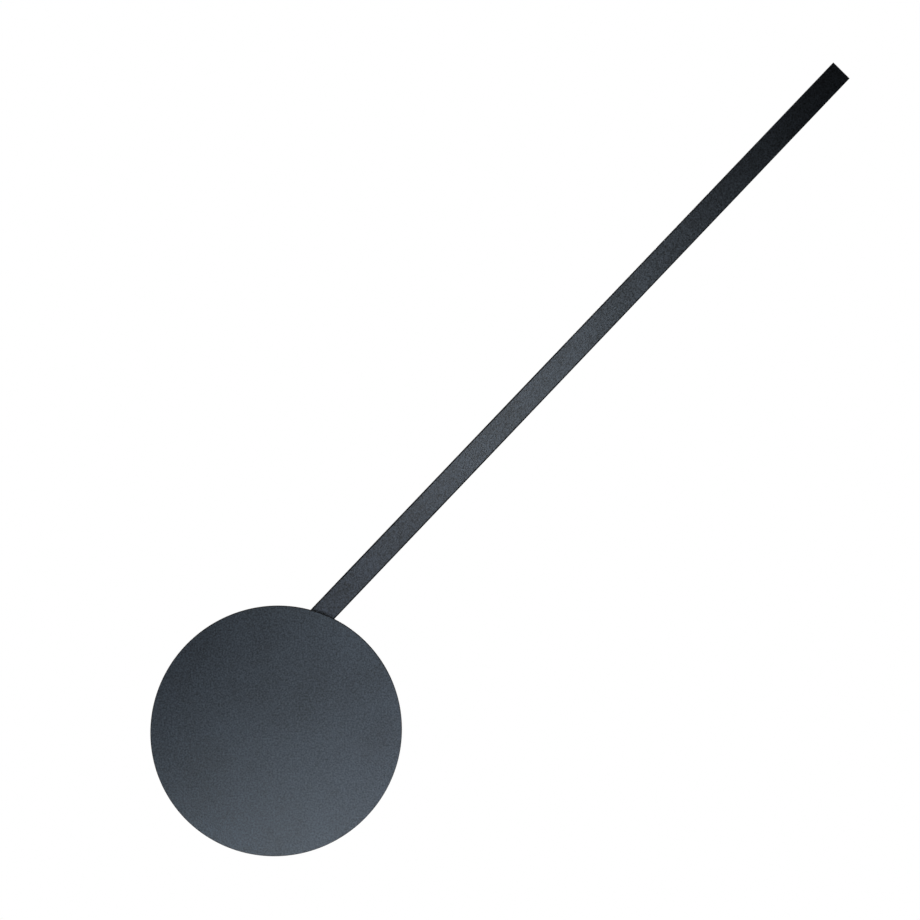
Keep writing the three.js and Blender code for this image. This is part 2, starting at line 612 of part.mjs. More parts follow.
function minuteArbor() {
  const COLLAR_RADIUS = 2.2;
  const shoulder = baseFloor + RUN_GAP;
  const collar = [centreWheelBack + TRAIN_WHEEL + RUN_GAP, centreWheelBack + TRAIN_WHEEL + 3 * RUN_GAP];
  const corners = [[0, pivotBack], [PIVOT_RADIUS, pivotBack], [PIVOT_RADIUS, shoulder],
    [ARBOR_RADIUS, shoulder], [ARBOR_RADIUS, collar[0]],
    [COLLAR_RADIUS, collar[0]], [COLLAR_RADIUS, collar[1]],
    [STOUT_RADIUS, collar[1]], [STOUT_RADIUS, pinionFront], [0, pinionFront]];
  const arbor = turned(corners, minuteAt, SMALL_ROUND);
  return node("minute_arbor", join(arbor, motionPinion(minuteAt, minutePhase)), zincSteel);
}

function clutchSpring() {
  const outline = new THREE.Shape();
  const LEGS = 3;
  const REACH = 5;
  const WAIST = 2.2;
  const step = (2 * Math.PI) / LEGS;
  for (let leg = 0; leg < LEGS; leg += 1) {
    const middle = leg * step;
    outline.absarc(0, 0, REACH, middle - step / 7, middle + step / 7);
    outline.absarc(0, 0, WAIST, middle + step / 3, middle + (2 * step) / 3);
  }
  outline.closePath();
  outline.holes.push(circle(arborHole));
  const spring = slab(outline, clutchBack, clutchBack + CLUTCH_THICKNESS, 3);
  return node("clutch_spring", spring.translate(...minuteAt, 0), zincSteel);
}

function centreWheel() {
  const front = centreWheelBack + TRAIN_WHEEL;
  const disc = wheel(CENTRE_TEETH, CENTRE_MODULE, centreWheelBack, front, minuteAt, 0, 4);
  const bore = rod(arborHole, centreWheelBack - BEYOND, front + BEYOND, minuteAt);
  return node("centre_wheel", cut(disc, bore), brass);
}

// A wheel and the pinion in front of it on one arbor, between the base and the cover.
function trainWheel(name, at, module, back, pinionModule, pinionPhase) {
  const disc = wheel(TRAIN_TEETH, module, back, back + TRAIN_WHEEL, at, 0, 4);
  const front = back + TRAIN_STEP + TRAIN_PINION;
  const pinion = wheel(TRAIN_PINION_TEETH, pinionModule, back + TRAIN_WHEEL / 2, front, at, pinionPhase);
  return node(name, join(disc, pinion, arborRod(at)), brass);
}

function arborRod(at) {
  const floor = baseFloor + RUN_GAP;
  const roof = coverBack - RUN_GAP;
  const corners = [[0, pivotBack], [PIVOT_RADIUS, pivotBack], [PIVOT_RADIUS, floor], [ARBOR_RADIUS, floor],
    [ARBOR_RADIUS, roof], [PIVOT_RADIUS, roof], [PIVOT_RADIUS, pivotFront], [0, pivotFront]];
  return turned(corners, at, SMALL_ROUND);
}

const ROTOR_RADIUS = 3;
const rotorBack = baseFloor + 0.8;
const rotorFront = rotorBack + 2;

function rotorPinion() {
  const back = fastWheelBack - RUN_GAP;
  const front = fastWheelBack + TRAIN_PINION;
  const pinion = wheel(TRAIN_PINION_TEETH, FAST_MODULE, back, front, rotorAt, rotorPinionPhase);
  return node("rotor_pinion", join(arborRod(rotorAt), pinion), zincSteel);
}

function rotorMagnet() {
  const magnet = tube(ROTOR_RADIUS, ARBOR_RADIUS + SEAT_GAP / 2, rotorBack, rotorFront, rotorAt, SMALL_ROUND);
  return node("rotor_magnet", magnet, ironCore);
}

// ---- Setting knob --------------------------------------------------------------------------------

const gripFront = plateFront + 2.2;
const knobFront = plateFront + 6;
const boreFloor = gripFront - 1;

function settingArbor() {
  const shaft = rod(STOUT_RADIUS, boreFloor + SEAT_GAP, pinionFront, settingAt);
  return node("setting_arbor", join(shaft, motionPinion(settingAt, settingPhase)), zincSteel);
}

// The knob's ribbed rim stands in a hole in the back plate, just below the plate's rear face.
function settingKnob() {
  const RIBS = 18;
  const RIB_HEIGHT = 0.7;
  const NECK_RADIUS = 3;
  const outline = new THREE.Shape();
  const step = (2 * Math.PI) / RIBS;
  for (let rib = 0; rib < RIBS; rib += 1) {
    const middle = rib * step;
    outline.absarc(0, 0, SETTING_KNOB_RADIUS, middle - 0.29 * step, middle + 0.29 * step);
    outline.absarc(0, 0, SETTING_KNOB_RADIUS - RIB_HEIGHT, middle + 0.4 * step, middle + 0.6 * step);
  }
  outline.closePath();
  const grip = slab(outline, RUN_GAP, gripFront, 1).translate(...settingAt, 0);
  const boss = rod(NECK_RADIUS, plateFront, knobFront, settingAt);
  const bore = rod(STOUT_RADIUS + SEAT_GAP / 2, boreFloor, knobFront + BEYOND, settingAt);
  return node("setting_knob", cut(join(grip, boss), bore), blackPlastic);
}

// ---- Stepping motor ------------------------------------------------------------------------------

const MOTOR_COIL_DROP = 16; // from the rotor down to the coil
const motorCoilAt = [rotorAt[0], rotorAt[1] - MOTOR_COIL_DROP];
const MOTOR_COIL_LENGTH = 24;
const MOTOR_COIL_RADIUS = 4;
const coilLevel = baseFloor + 0.6 + MOTOR_COIL_RADIUS;

// A piece turned about an axis that runs along x.
function turnedAcross(corners, [x, y], level, sides = SMALL_ROUND) {
  const profile = corners.map(([radius, along]) => new THREE.Vector2(radius, along));
  return new THREE.LatheGeometry(profile, sides).rotateZ(-Math.PI / 2).translate(x, y, level);
}

function tubeAcross(outer, inner, half, at, level) {
  const corners = [[inner, -half], [outer, -half], [outer, half], [inner, half], [inner, -half]];
  return turnedAcross(corners, at, level);
}

// The core runs through the coil and steps down to the pole plate round the rotor.
function stator() {
  const [x, y] = motorCoilAt;
  const half = MOTOR_COIL_LENGTH / 2;
  const foot = [half + 0.6, half + 4]; // where an arm stands past the end of the coil
  const ends = [[x - foot[1], x - foot[0]], [x + foot[0], x + foot[1]]];
  const whole = [x - foot[1], x + foot[1]];
  const coreLevel = around(coilLevel, 1.8);
  const armTop = y + 3.2;
  const stepBottom = y + 1.4;
  const poleBottom = y + 7;
  const core = block(whole, around(y, 1.8), coreLevel);
  const arms = ends.map((across) => block(across, [y - 0.9, armTop], coreLevel));
  const steps = ends.map((across) => block(across, [stepBottom, armTop], [rotorBack, coreLevel[1]]));
  const low = ends.map((across) => block(across, [stepBottom, poleBottom + BEYOND], [rotorBack, rotorFront]));
  const poles = block(whole, [poleBottom, rotorAt[1] + 6], [rotorBack, rotorFront]);
  const rotorHole = rod(ROTOR_RADIUS + 0.6, 0, CASE_DEPTH, rotorAt);
  const fastHole = rod(ARBOR_RADIUS + 1, 0, CASE_DEPTH, fastAt);
  return node("stator", cut(join(core, ...arms, ...steps, ...low, poles), rotorHole, fastHole), ironCore);
}

function coilBobbin() {
  const half = MOTOR_COIL_LENGTH / 2;
  const sleeve = tubeAcross(2.2, 1.5, half, motorCoilAt, coilLevel);
  const cheeks = [-1, 1].map((side) => {
    const at = [motorCoilAt[0] + side * (half - 0.5), motorCoilAt[1]];
    return tubeAcross(MOTOR_COIL_RADIUS + 0.3, 1.5, 0.5, at, coilLevel);
  });
  return node("coil_bobbin", join(sleeve, ...cheeks), ivoryPlastic);
}

function coilWinding() {
  const half = MOTOR_COIL_LENGTH / 2 - 1.2;
  return node("coil_winding", tubeAcross(MOTOR_COIL_RADIUS, 2.3, half, motorCoilAt, coilLevel), copper);
}

// ---- Circuit board -------------------------------------------------------------------------------

const BOARD_THICKNESS = 1.2;
const boardX = [baseX[1] + 4, baseX[1] + 26];
const boardY = [discCentre[1] - 22, discCentre[1] + 18];
const boardBack = 8;
const boardFront = boardBack + BOARD_THICKNESS;

function circuitBoard() {
  const plate = slab(roundedRectangle(boardX, boardY, 1.5), boardBack, boardFront, 3);
  const legs = [[boardX[0] + 3, boardY[0] + 3], [boardX[1] - 3, boardY[1] - 3]].map((at) =>
    rod(1.6, plateFront + SEAT_GAP, boardBack + 0.5, at, 12),
  );
  return node("circuit_board", join(plate, ...legs), boardGreen);
}

function controlChip() {
  const centre = [(boardX[0] + boardX[1]) / 2, discCentre[1] + 2];
  const foot = boardFront + SEAT_GAP / 2;
  const corners = [[0, foot], [4.2, foot], [3.6, foot + 0.8], [1.6, foot + 1.3], [0, foot + 1.4]];
  return node("control_chip", turned(corners, centre, SMALL_ROUND), blackPlastic);
}

function timingCrystal() {
  const at = [(boardX[0] + boardX[1]) / 2, discCentre[1] - 12];
  const corners = [[0, -4], [1.2, -4], [1.5, -3.7], [1.5, 3.6], [1.1, 4], [0, 4]];
  return node("timing_crystal", turnedAcross(corners, at, boardFront + 1.6), magnetNickel);
}

// ---- Battery -------------------------------------------------------------------------------------

function batteryTray() {
  const outerX = trayInnerX + TRAY_WALL;
  const outerY = trayInnerY + TRAY_WALL;
  const [x, y] = batteryAt;
  const back = plateFront + SEAT_GAP;
  const CORNER = 2;
  const outline = roundedRectangle(around(x, 2 * outerX), around(y, 2 * outerY), CORNER);
  const shell = slab(outline, back, trayFront + TRAY_WALL, 4);
  const room = block(around(x, 2 * trayInnerX), around(y, 2 * trayInnerY), [0, trayFront]);
  return node("battery_tray", cut(shell, room), blackPlastic);
}

function battery() {
  const half = BATTERY_LENGTH / 2;
  const CRIMP = 0.6;
  const CAP_RADIUS = 2.7;
  const CAP_HEIGHT = 1;
  const shoulder = half - CAP_HEIGHT;
  const corners = [[0, -half], [batteryRadius - CRIMP, -half], [batteryRadius, CRIMP - half],
    [batteryRadius, shoulder - CRIMP], [batteryRadius - CRIMP, shoulder], [CAP_RADIUS, shoulder],
    [CAP_RADIUS, half], [0, half]];
  return node("battery", turnedAcross(corners, batteryAt, batteryLevel, 32), batteryJacket);
}

function positiveContact() {
  const WIDTH = 10;
  const THICKNESS = 0.5;
  const left = batteryAt[0] + BATTERY_LENGTH / 2 + SEAT_GAP;
  const plate = block([left, left + THICKNESS], around(batteryAt[1], WIDTH), around(batteryLevel, WIDTH));
  return node("battery_positive_contact", plate, magnetNickel);
}

// The negative contact is a conical coil of spring wire, drawn as one swept wire.
function negativeSpring() {
  const TURNS = 3;
  const STEPS_PER_TURN = 12;
  const WIRE_RADIUS = 0.35;
  const NARROW = 2.2; // radius of the turn that meets the battery
  const WIDEN = 2.4;
  const PITCH = 2.2; // of all the turns together
  const [, y] = batteryAt;
  const start = batteryAt[0] - BATTERY_LENGTH / 2 - SEAT_GAP - WIRE_RADIUS;
  const steps = TURNS * STEPS_PER_TURN;
  const points = [];
  for (let step = 0; step <= steps; step += 1) {
    const angle = (step * 2 * Math.PI) / STEPS_PER_TURN;
    const share = step / steps;
    const radius = NARROW + WIDEN * share;
    const up = y + radius * Math.cos(angle);
    points.push(new THREE.Vector3(start - PITCH * share, up, batteryLevel + radius * Math.sin(angle)));
  }
  return node("battery_negative_spring", wire(points, WIRE_RADIUS, steps, 6), magnetNickel);
}

// A wire of round section along a smooth curve.
function wire(points, radius, steps, sides = 8) {
  const section = new THREE.Shape();
  for (let side = 0; side < sides; side += 1) {
    const angle = (side * 2 * Math.PI) / sides;
    section[side ? "lineTo" : "moveTo"](radius * Math.cos(angle), radius * Math.sin(angle));
  }
  const extrudePath = new THREE.CatmullRomCurve3(points);
  return new THREE.ExtrudeGeometry(section, { steps, bevelEnabled: false, extrudePath });
}

// ---- Pendulum coil -------------------------------------------------------------------------------

const pendulumCoilFront = shellBack - SEAT_GAP;
const pendulumCoilBack = pendulumCoilFront - 8;

function pendulumCoilBobbin() {
  const sleeve = tube(3.4, 2.4, pendulumCoilBack, pendulumCoilFront, coilAt);
  const rear = tube(COIL_RADIUS, 2.4, pendulumCoilBack, pendulumCoilBack + 1, coilAt);
  const front = tube(COIL_RADIUS, 2.4, pendulumCoilFront - 1, pendulumCoilFront, coilAt);
  return node("pendulum_coil_bobbin", join(sleeve, rear, front), ivoryPlastic);
}

function pendulumCoilWinding() {
  const back = pendulumCoilBack + 1.1;
  const front = pendulumCoilFront - 1.1;
  return node("pendulum_coil_winding", tube(COIL_RADIUS - 1, 3.5, back, front, coilAt), copper);
}

function pendulumCoilPost() {
  const corners = [[0, plateFront + SEAT_GAP], [4, plateFront + SEAT_GAP], [4, pendulumCoilBack - SEAT_GAP],
    [2.2, pendulumCoilBack - SEAT_GAP], [2.2, pendulumCoilFront - 0.5], [0, pendulumCoilFront - 0.5]];
  return node("pendulum_coil_post", turned(corners, coilAt, SMALL_ROUND), ironCore);
}

// ---- The clock -----------------------------------------------------------------------------------

const clock = new THREE.Group();
clock.rotation.x = Math.PI / 2; // the clock's plane stands up, and its levels run out towards -Y
clock.add(backPlate(), caseShell(), ...bosses.map(shellScrew), spindle(), spindleClip());
clock.add(hand(), pendulum());
clock.add(movementBase(), movementCover());
movementScrews.forEach((at, index) => {
  clock.add(panScrew(`movement_screw_${index + 1}`, at, coverFront, 0.6));
});
clock.add(motionWheel(), minuteArbor(), clutchSpring(), centreWheel());
clock.add(trainWheel("slow_wheel", slowAt, SLOW_MODULE, slowWheelBack, CENTRE_MODULE, slowPinionPhase));
clock.add(trainWheel("fast_wheel", fastAt, FAST_MODULE, fastWheelBack, SLOW_MODULE, fastPinionPhase));
clock.add(rotorPinion(), rotorMagnet(), stator(), coilBobbin(), coilWinding());
clock.add(settingArbor(), settingKnob());
clock.add(circuitBoard(), controlChip(), timingCrystal());
clock.add(batteryTray(), battery(), positiveContact(), negativeSpring(), batteryDoor());
clock.add(pendulumCoilPost(), pendulumCoilBobbin(), pendulumCoilWinding());

const part = new THREE.Group();
part.add(clock);

export default part;
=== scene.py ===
"""A pendulum wall clock: a slate powder-coated disc that swings in front of one long folded hand.

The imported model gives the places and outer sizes. The outside pieces are made again here as fine meshes, with
the radii and folds of the real ones, and every piece that shows gets the finish that it was made with.
Outlines are in millimetres in the clock's own plane: x to the right, y up, and the level out from the wall.
Round holes, bosses, knobs and screws are given by their radius.
"""
import json
import math
from collections import namedtuple

import bmesh
import bpy
from mathutils import Matrix, Vector


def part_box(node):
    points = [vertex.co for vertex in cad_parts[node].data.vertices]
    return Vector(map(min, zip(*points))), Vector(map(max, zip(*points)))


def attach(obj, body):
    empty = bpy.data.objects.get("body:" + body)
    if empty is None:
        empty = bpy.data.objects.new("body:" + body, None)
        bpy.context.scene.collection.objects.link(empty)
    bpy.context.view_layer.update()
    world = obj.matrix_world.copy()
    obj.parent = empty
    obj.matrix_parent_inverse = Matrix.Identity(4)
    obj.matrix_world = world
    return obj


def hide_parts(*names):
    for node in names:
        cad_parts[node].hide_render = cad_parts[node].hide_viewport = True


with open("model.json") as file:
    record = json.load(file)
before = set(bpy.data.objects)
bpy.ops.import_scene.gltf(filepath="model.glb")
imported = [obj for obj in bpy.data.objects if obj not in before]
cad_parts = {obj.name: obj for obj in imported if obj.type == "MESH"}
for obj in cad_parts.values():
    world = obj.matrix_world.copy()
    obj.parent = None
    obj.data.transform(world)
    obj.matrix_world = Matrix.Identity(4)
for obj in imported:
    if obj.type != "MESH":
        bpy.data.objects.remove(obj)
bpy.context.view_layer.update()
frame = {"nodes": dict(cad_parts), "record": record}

MM = 0.001
FINE_SIDES = 256
SIDES = 96
SCREW_SIDES = 48

SMOOTH_ANGLE = math.radians(32)  # faces that turn less than this from each other are shaded as one
SHARP_ANGLE = math.radians(40)  # edges that turn more than this are broken
FLAT_MATCH = 0.99999  # how well a face must match a flat way, as a cosine
TOUCHING = 0.001  # points closer than this count as being in the same place

WALL = 0  # the level of the wall, where the back plate's rear face lies
CUT_PAST = 2  # how far a large cutting piece runs past what it cuts
SMALL_CUT_PAST = 1  # and a small one
JOIN_DEPTH = 0.5  # how far a piece sinks into the one that it is joined to

# From the clock's plane in millimetres to the world in metres: levels run out towards -Y.
STAND_UP = Matrix.Rotation(math.pi / 2, 4, "X") @ Matrix.Scale(MM, 4)

# The faces that lie in the clock's plane are flat. A piece with other flat faces adds their ways.
FLAT_WAYS = (Vector((0, 1, 0)),)

Place = namedtuple("Place", "left right bottom top back front")


def place_of(node):
    """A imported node's box in the clock's plane, in millimetres."""
    low, high = (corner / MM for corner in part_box(node))
    return Place(low.x, high.x, low.z, high.z, -high.y, -low.y)


def middle(place):
    return Vector(((place.left + place.right) / 2, (place.bottom + place.top) / 2))


def half_width(place):
    return (place.right - place.left) / 2


# ---- Materials -----------------------------------------------------------------------------------


def hex_colour(text):
    """An sRGB hex value as linear RGBA."""
    shares = [int(text[i : i + 2], 16) / 255 for i in (0, 2, 4)]
    linear = [s / 12.92 if s <= 0.04045 else ((s + 0.055) / 1.055) ** 2.4 for s in shares]
    return (*linear, 1.0)


def per_mm(size):
    """The texture scale that gives a pattern of this size in millimetres."""
    return 1 / (size * MM)


def bands(size):
    """The wave texture's scale that puts its bands this far apart in millimetres."""
    radians_per_unit = 20
    return per_mm(size) * 2 * math.pi / radians_per_unit


def add(tree, kind, inputs, output=0, **settings):
    """A node with its settings, its inputs as values or links, and the output that is used."""
    node = tree.nodes.new(kind)
    for name, value in settings.items():
        setattr(node, name, value)
    for name, value in inputs.items():
        if isinstance(value, bpy.types.NodeSocket):
            tree.links.new(value, node.inputs[name])
        else:
            node.inputs[name].default_value = value
    return node.outputs[output]


def mix_colours(tree, share, low, high):
    """A colour between two. Inputs 6 and 7 of this node are its colours, and output 2 is their mix."""
    return add(tree, "ShaderNodeMix", {0: share, 6: low, 7: high}, 2, data_type="RGBA")


def begin(name, **fixed):
    """A new material with the values that are the same all over it, and the coordinates on its piece."""
    material = bpy.data.materials.new(name)
    material.use_nodes = True
    tree = material.node_tree
    shader = tree.nodes["Principled BSDF"]
    for socket, value in fixed.items():
        shader.inputs[socket.replace("_", " ")].default_value = value
    where = add(tree, "ShaderNodeTexCoord", {}, "Object")
    return material, tree, shader, where


def worn_edges(tree, width):
    """A share that is 1 on edges worn by handling, over this width in millimetres, and 0 elsewhere."""
    true_normal = add(tree, "ShaderNodeNewGeometry", {}, "Normal")
    rounded_normal = add(tree, "ShaderNodeBevel", {"Radius": width * MM}, samples=8)
    alike = add(tree, "ShaderNodeVectorMath", {0: true_normal, 1: rounded_normal}, "Value",
                operation="DOT_PRODUCT")
    return add(tree, "ShaderNodeMapRange", {"Value": alike, "From Min": 0.99, "From Max": 0.85})


def edge_shade_share(tree):
    """A share that is 1 on a fold or a broken edge, where the normal leans, and 0 on the faces beside it. It
    places the painted edge shade, the dark line that a turned edge shows in shade.
    """
    normal = add(tree, "ShaderNodeTexCoord", {}, "Normal")
    out = add(tree, "ShaderNodeSeparateXYZ", {"Vector": normal}, "Y")
    facing = add(tree, "ShaderNodeMath", {0: out, 1: out}, operation="MULTIPLY")
    aside = add(tree, "ShaderNodeMath", {0: 1.0, 1: facing}, operation="SUBTRACT")
    lean = add(tree, "ShaderNodeMath", {0: facing, 1: aside}, operation="MULTIPLY")
    return add(tree, "ShaderNodeMapRange", {"Value": lean, "From Min": 0.02, "From Max": 0.12})


def dress(tree, shader, colours, share, roughness, relief, depth, edges=None):
    """Colour between two tones, roughness between two values, and relief of a depth in millimetres.

    The edges, if they differ, are a tone, the share that finds them and how strongly it shows. On the powder
    coat this is painted edge shade, and on the other finishes it is wear.
    """
    low, high = (hex_colour(tone) for tone in colours)
    colour = mix_colours(tree, share, low, high)
    if edges:
        tone, found, strength = edges
        shown = add(tree, "ShaderNodeMath", {0: found, 1: strength}, operation="MULTIPLY")
        colour = mix_colours(tree, shown, colour, hex_colour(tone))
    smooth, coarse = roughness
    rough = add(tree, "ShaderNodeMapRange", {"Value": share, "To Min": smooth, "To Max": coarse})
    bump = add(tree, "ShaderNodeBump", {"Height": relief, "Distance": depth * MM, "Strength": 1.0})
    tree.links.new(colour, shader.inputs["Base Color"])
    tree.links.new(rough, shader.inputs["Roughness"])
    tree.links.new(bump, shader.inputs["Normal"])


# Slate polyester powder, sprayed and baked on metal. The powder melts into a fine, dry orange peel, so the
# metal looks matte and lightly sandy. The real grain is about 0.3 mm, drawn at 1.4 mm so that it shows. The
# edges and folds, where the normal leans, are painted near black as the shade that a turned edge falls into.
# The strip's coat is a shade darker than the sheet's.
def powder_coat(name, dark, light):
    material, tree, shader, where = begin(name, Metallic=0.0, IOR=1.5)
    grain = add(tree, "ShaderNodeTexNoise", {"Vector": where, "Scale": per_mm(1.4), "Detail": 4.0})
    cloud = add(tree, "ShaderNodeTexNoise", {"Vector": where, "Scale": per_mm(45), "Detail": 2.0})
    mixed = add(tree, "ShaderNodeMath", {0: cloud, 1: 0.2, 2: grain}, operation="MULTIPLY_ADD")
    share = add(tree, "ShaderNodeMapRange", {"Value": mixed, "From Min": 0.42, "From Max": 0.78})
    # Painted shade: the edges and folds are painted near black, as the shade that the turned edge falls into.
    painted_edge_shade = ("06070a", edge_shade_share(tree), 1.0)
    dress(tree, shader, (dark, light), share, roughness=(0.46, 0.6), relief=grain, depth=0.2, edges=painted_edge_shade)
    return material


# Black ABS, injection moulded in a spark-eroded mould, which leaves an even fine grain and a low sheen.
def moulded_abs(name):
    material, tree, shader, where = begin(name, Metallic=0.0, IOR=1.53)
    grain = add(tree, "ShaderNodeTexNoise", {"Vector": where, "Scale": per_mm(0.7), "Detail": 4.0})
    flow = add(tree, "ShaderNodeTexNoise", {"Vector": where, "Scale": per_mm(30), "Detail": 2.0})
    share = add(tree, "ShaderNodeMath", {0: grain, 1: flow}, operation="MULTIPLY")
    polish = ("4a4b4d", worn_edges(tree, 0.4), 0.4)
    dress(tree, shader, ("151618", "2a2b2d"), share,
          roughness=(0.42, 0.7), relief=grain, depth=0.04, edges=polish)
    return material


# Natural acetal, moulded and polished by its mould: warm white, waxy, with faint flow clouds.
def moulded_acetal(name):
    material, tree, shader, where = begin(name, Metallic=0.0, IOR=1.48)
    flow = add(tree, "ShaderNodeTexNoise", {"Vector": where, "Scale": per_mm(6), "Detail": 3.0})
    fine = add(tree, "ShaderNodeTexNoise", {"Vector": where, "Scale": per_mm(0.5), "Detail": 2.0})
    dress(tree, shader, ("d9d0b8", "efe9da"), flow, roughness=(0.28, 0.42), relief=fine, depth=0.01)
    return material


# Rolled steel, bright zinc plated and passivated: cool grey with a faint spangle and the mill's fine lines.
def zinc_plate(name):
    material, tree, shader, where = begin(name, Metallic=1.0)
    drawn = add(tree, "ShaderNodeMapping", {"Vector": where, "Scale": (1.0, 1.0, 0.04)})
    lines = add(tree, "ShaderNodeTexNoise", {"Vector": drawn, "Scale": per_mm(0.6), "Detail": 4.0})
    spangle = add(tree, "ShaderNodeTexVoronoi", {"Vector": where, "Scale": per_mm(3)}, "Color")
    tone = add(tree, "ShaderNodeSeparateColor", {"Color": spangle}, "Red")
    share = add(tree, "ShaderNodeMath", {0: tone, 1: 0.15, 2: lines}, operation="MULTIPLY_ADD")
    bright_edge = ("c9ccd0", worn_edges(tree, 0.3), 0.6)
    dress(tree, shader, ("8f9398", "b9bdc2"), share,
          roughness=(0.42, 0.56), relief=lines, depth=0.006, edges=bright_edge)
    return material


# Bronze powder, pressed, sintered and oiled: a dull brown metal full of tiny dark pores.
def sintered_bronze(name):
    material, tree, shader, where = begin(name, Metallic=1.0)
    pores = add(tree, "ShaderNodeTexVoronoi", {"Vector": where, "Scale": per_mm(0.35)}, "Distance")
    share = add(tree, "ShaderNodeMapRange", {"Value": pores, "From Min": 0.15, "From Max": 0.6})
    dress(tree, shader, ("6a4322", "b3793e"), share, roughness=(0.4, 0.6), relief=share, depth=0.02)
    return material


# Sheet brass, stamped and tumbled: warm yellow with short soft scratches and brighter tooth edges.
def stamped_brass(name):
    material, tree, shader, where = begin(name, Metallic=1.0)
    drawn = add(tree, "ShaderNodeMapping", {"Vector": where, "Scale": (1.0, 1.0, 0.15)})
    scratches = add(tree, "ShaderNodeTexNoise", {"Vector": drawn, "Scale": per_mm(0.3), "Detail": 5.0})
    bright_edge = ("ecd592", worn_edges(tree, 0.15), 0.7)
    dress(tree, shader, ("b8903f", "dbbb6b"), scratches,
          roughness=(0.22, 0.4), relief=scratches, depth=0.003, edges=bright_edge)
    return material


# Enamelled copper wire in close layers. The wire is 0.1 mm thick, drawn at 0.4 mm so that the turns show.
def wound_copper(name, along):
    material, tree, shader, where = begin(name, Metallic=1.0, Coat_Weight=0.6)
    turns = add(tree, "ShaderNodeTexWave", {"Vector": where, "Scale": bands(0.4)}, "Fac",
                wave_type="BANDS", bands_direction=along)
    dress(tree, shader, ("7a3113", "c9673a"), turns, roughness=(0.25, 0.38), relief=turns, depth=0.1)
    return material


# Soft iron, annealed after stamping: a dull blue-grey skin with darker oxide clouds.
def annealed_iron(name):
    material, tree, shader, where = begin(name, Metallic=1.0)
    oxide = add(tree, "ShaderNodeTexNoise", {"Vector": where, "Scale": per_mm(4), "Detail": 5.0})
    fine = add(tree, "ShaderNodeTexNoise", {"Vector": where, "Scale": per_mm(0.4), "Detail": 2.0})
    dress(tree, shader, ("55585d", "84878b"), oxide, roughness=(0.4, 0.58), relief=fine, depth=0.01)
    return material


# Nickel plate on a ground blank: bright, slightly warm, with fine handling marks.
def nickel_plate(name):
    material, tree, shader, where = begin(name, Metallic=1.0)
    marks = add(tree, "ShaderNodeTexNoise", {"Vector": where, "Scale": per_mm(1.5), "Detail": 6.0})
    bright_edge = ("e6e5e0", worn_edges(tree, 0.3), 0.5)
    dress(tree, shader, ("b4b3ad", "d3d2cd"), marks,
          roughness=(0.14, 0.26), relief=marks, depth=0.002, edges=bright_edge)
    return material


# Glass-fibre board under green solder mask: glossy, with the cloth's weave just showing through.
def masked_board(name):
    material, tree, shader, where = begin(name, Metallic=0.0, IOR=1.5)
    warp = add(tree, "ShaderNodeTexWave", {"Vector": where, "Scale": bands(0.8)}, "Fac",
               wave_type="BANDS", bands_direction="X")
    weft = add(tree, "ShaderNodeTexWave", {"Vector": where, "Scale": bands(0.8)}, "Fac",
               wave_type="BANDS", bands_direction="Z")
    weave = add(tree, "ShaderNodeMath", {0: warp, 1: weft}, operation="MULTIPLY")
    dress(tree, shader, ("164a2a", "266b40"), weave, roughness=(0.24, 0.36), relief=weave, depth=0.01)
    return material


# Heat-shrunk plastic film on a steel can: plain deep blue, with a pale ring at the positive end.
def shrunk_film(name, ring_at):
    material, tree, shader, where = begin(name, Metallic=0.0, IOR=1.5, Coat_Weight=0.4)
    along = add(tree, "ShaderNodeSeparateXYZ", {"Vector": where}, "X")
    ring = add(tree, "ShaderNodeMath", {0: along, 1: ring_at * MM}, operation="GREATER_THAN")
    ripple = add(tree, "ShaderNodeTexNoise", {"Vector": where, "Scale": per_mm(3), "Detail": 3.0})
    faint = add(tree, "ShaderNodeMath", {0: ripple, 1: 0.25}, operation="MULTIPLY")
    share = add(tree, "ShaderNodeMath", {0: ring, 1: faint}, operation="MAXIMUM")
    dress(tree, shader, ("22335c", "c3c8d0"), share, roughness=(0.2, 0.3), relief=ripple, depth=0.02)
    return material


battery_place = place_of("battery")
RING_LENGTH = 9  # of the pale ring on the battery

sheet_slate = powder_coat("slate_powder_coat_on_sheet", "1f272c", "525e67")
strip_slate = powder_coat("slate_powder_coat_on_strip", "1d2327", "515a64")
black_abs = moulded_abs("moulded_black_abs")
acetal = moulded_acetal("moulded_acetal")
zinc = zinc_plate("bright_zinc_plate")
bronze = sintered_bronze("sintered_bronze")
brass = stamped_brass("stamped_brass")
motor_copper = wound_copper("enamelled_copper_motor_coil", "X")
drive_copper = wound_copper("enamelled_copper_drive_coil", "Y")
iron = annealed_iron("annealed_iron")
nickel = nickel_plate("nickel_plate")
board = masked_board("solder_masked_board")
film = shrunk_film("shrunk_battery_film", battery_place.right - RING_LENGTH)

SLOT_MATERIALS = {
    "coated_steel": sheet_slate,
    "coated_aluminium": strip_slate,
    "black_plastic": black_abs,
    "ivory_plastic": acetal,
    "zinc_steel": zinc,
    "bearing_bronze": bronze,
    "wheel_brass": brass,
    "copper_wire": motor_copper,
    "soft_iron": iron,
    "bright_nickel": nickel,
    "green_board": board,
    "battery_jacket": film,
}
NODE_SLOT = {row["node"]: row["material_slot"] for row in frame["record"]["subparts"]}

# ---- Mesh work -----------------------------------------------------------------------------------


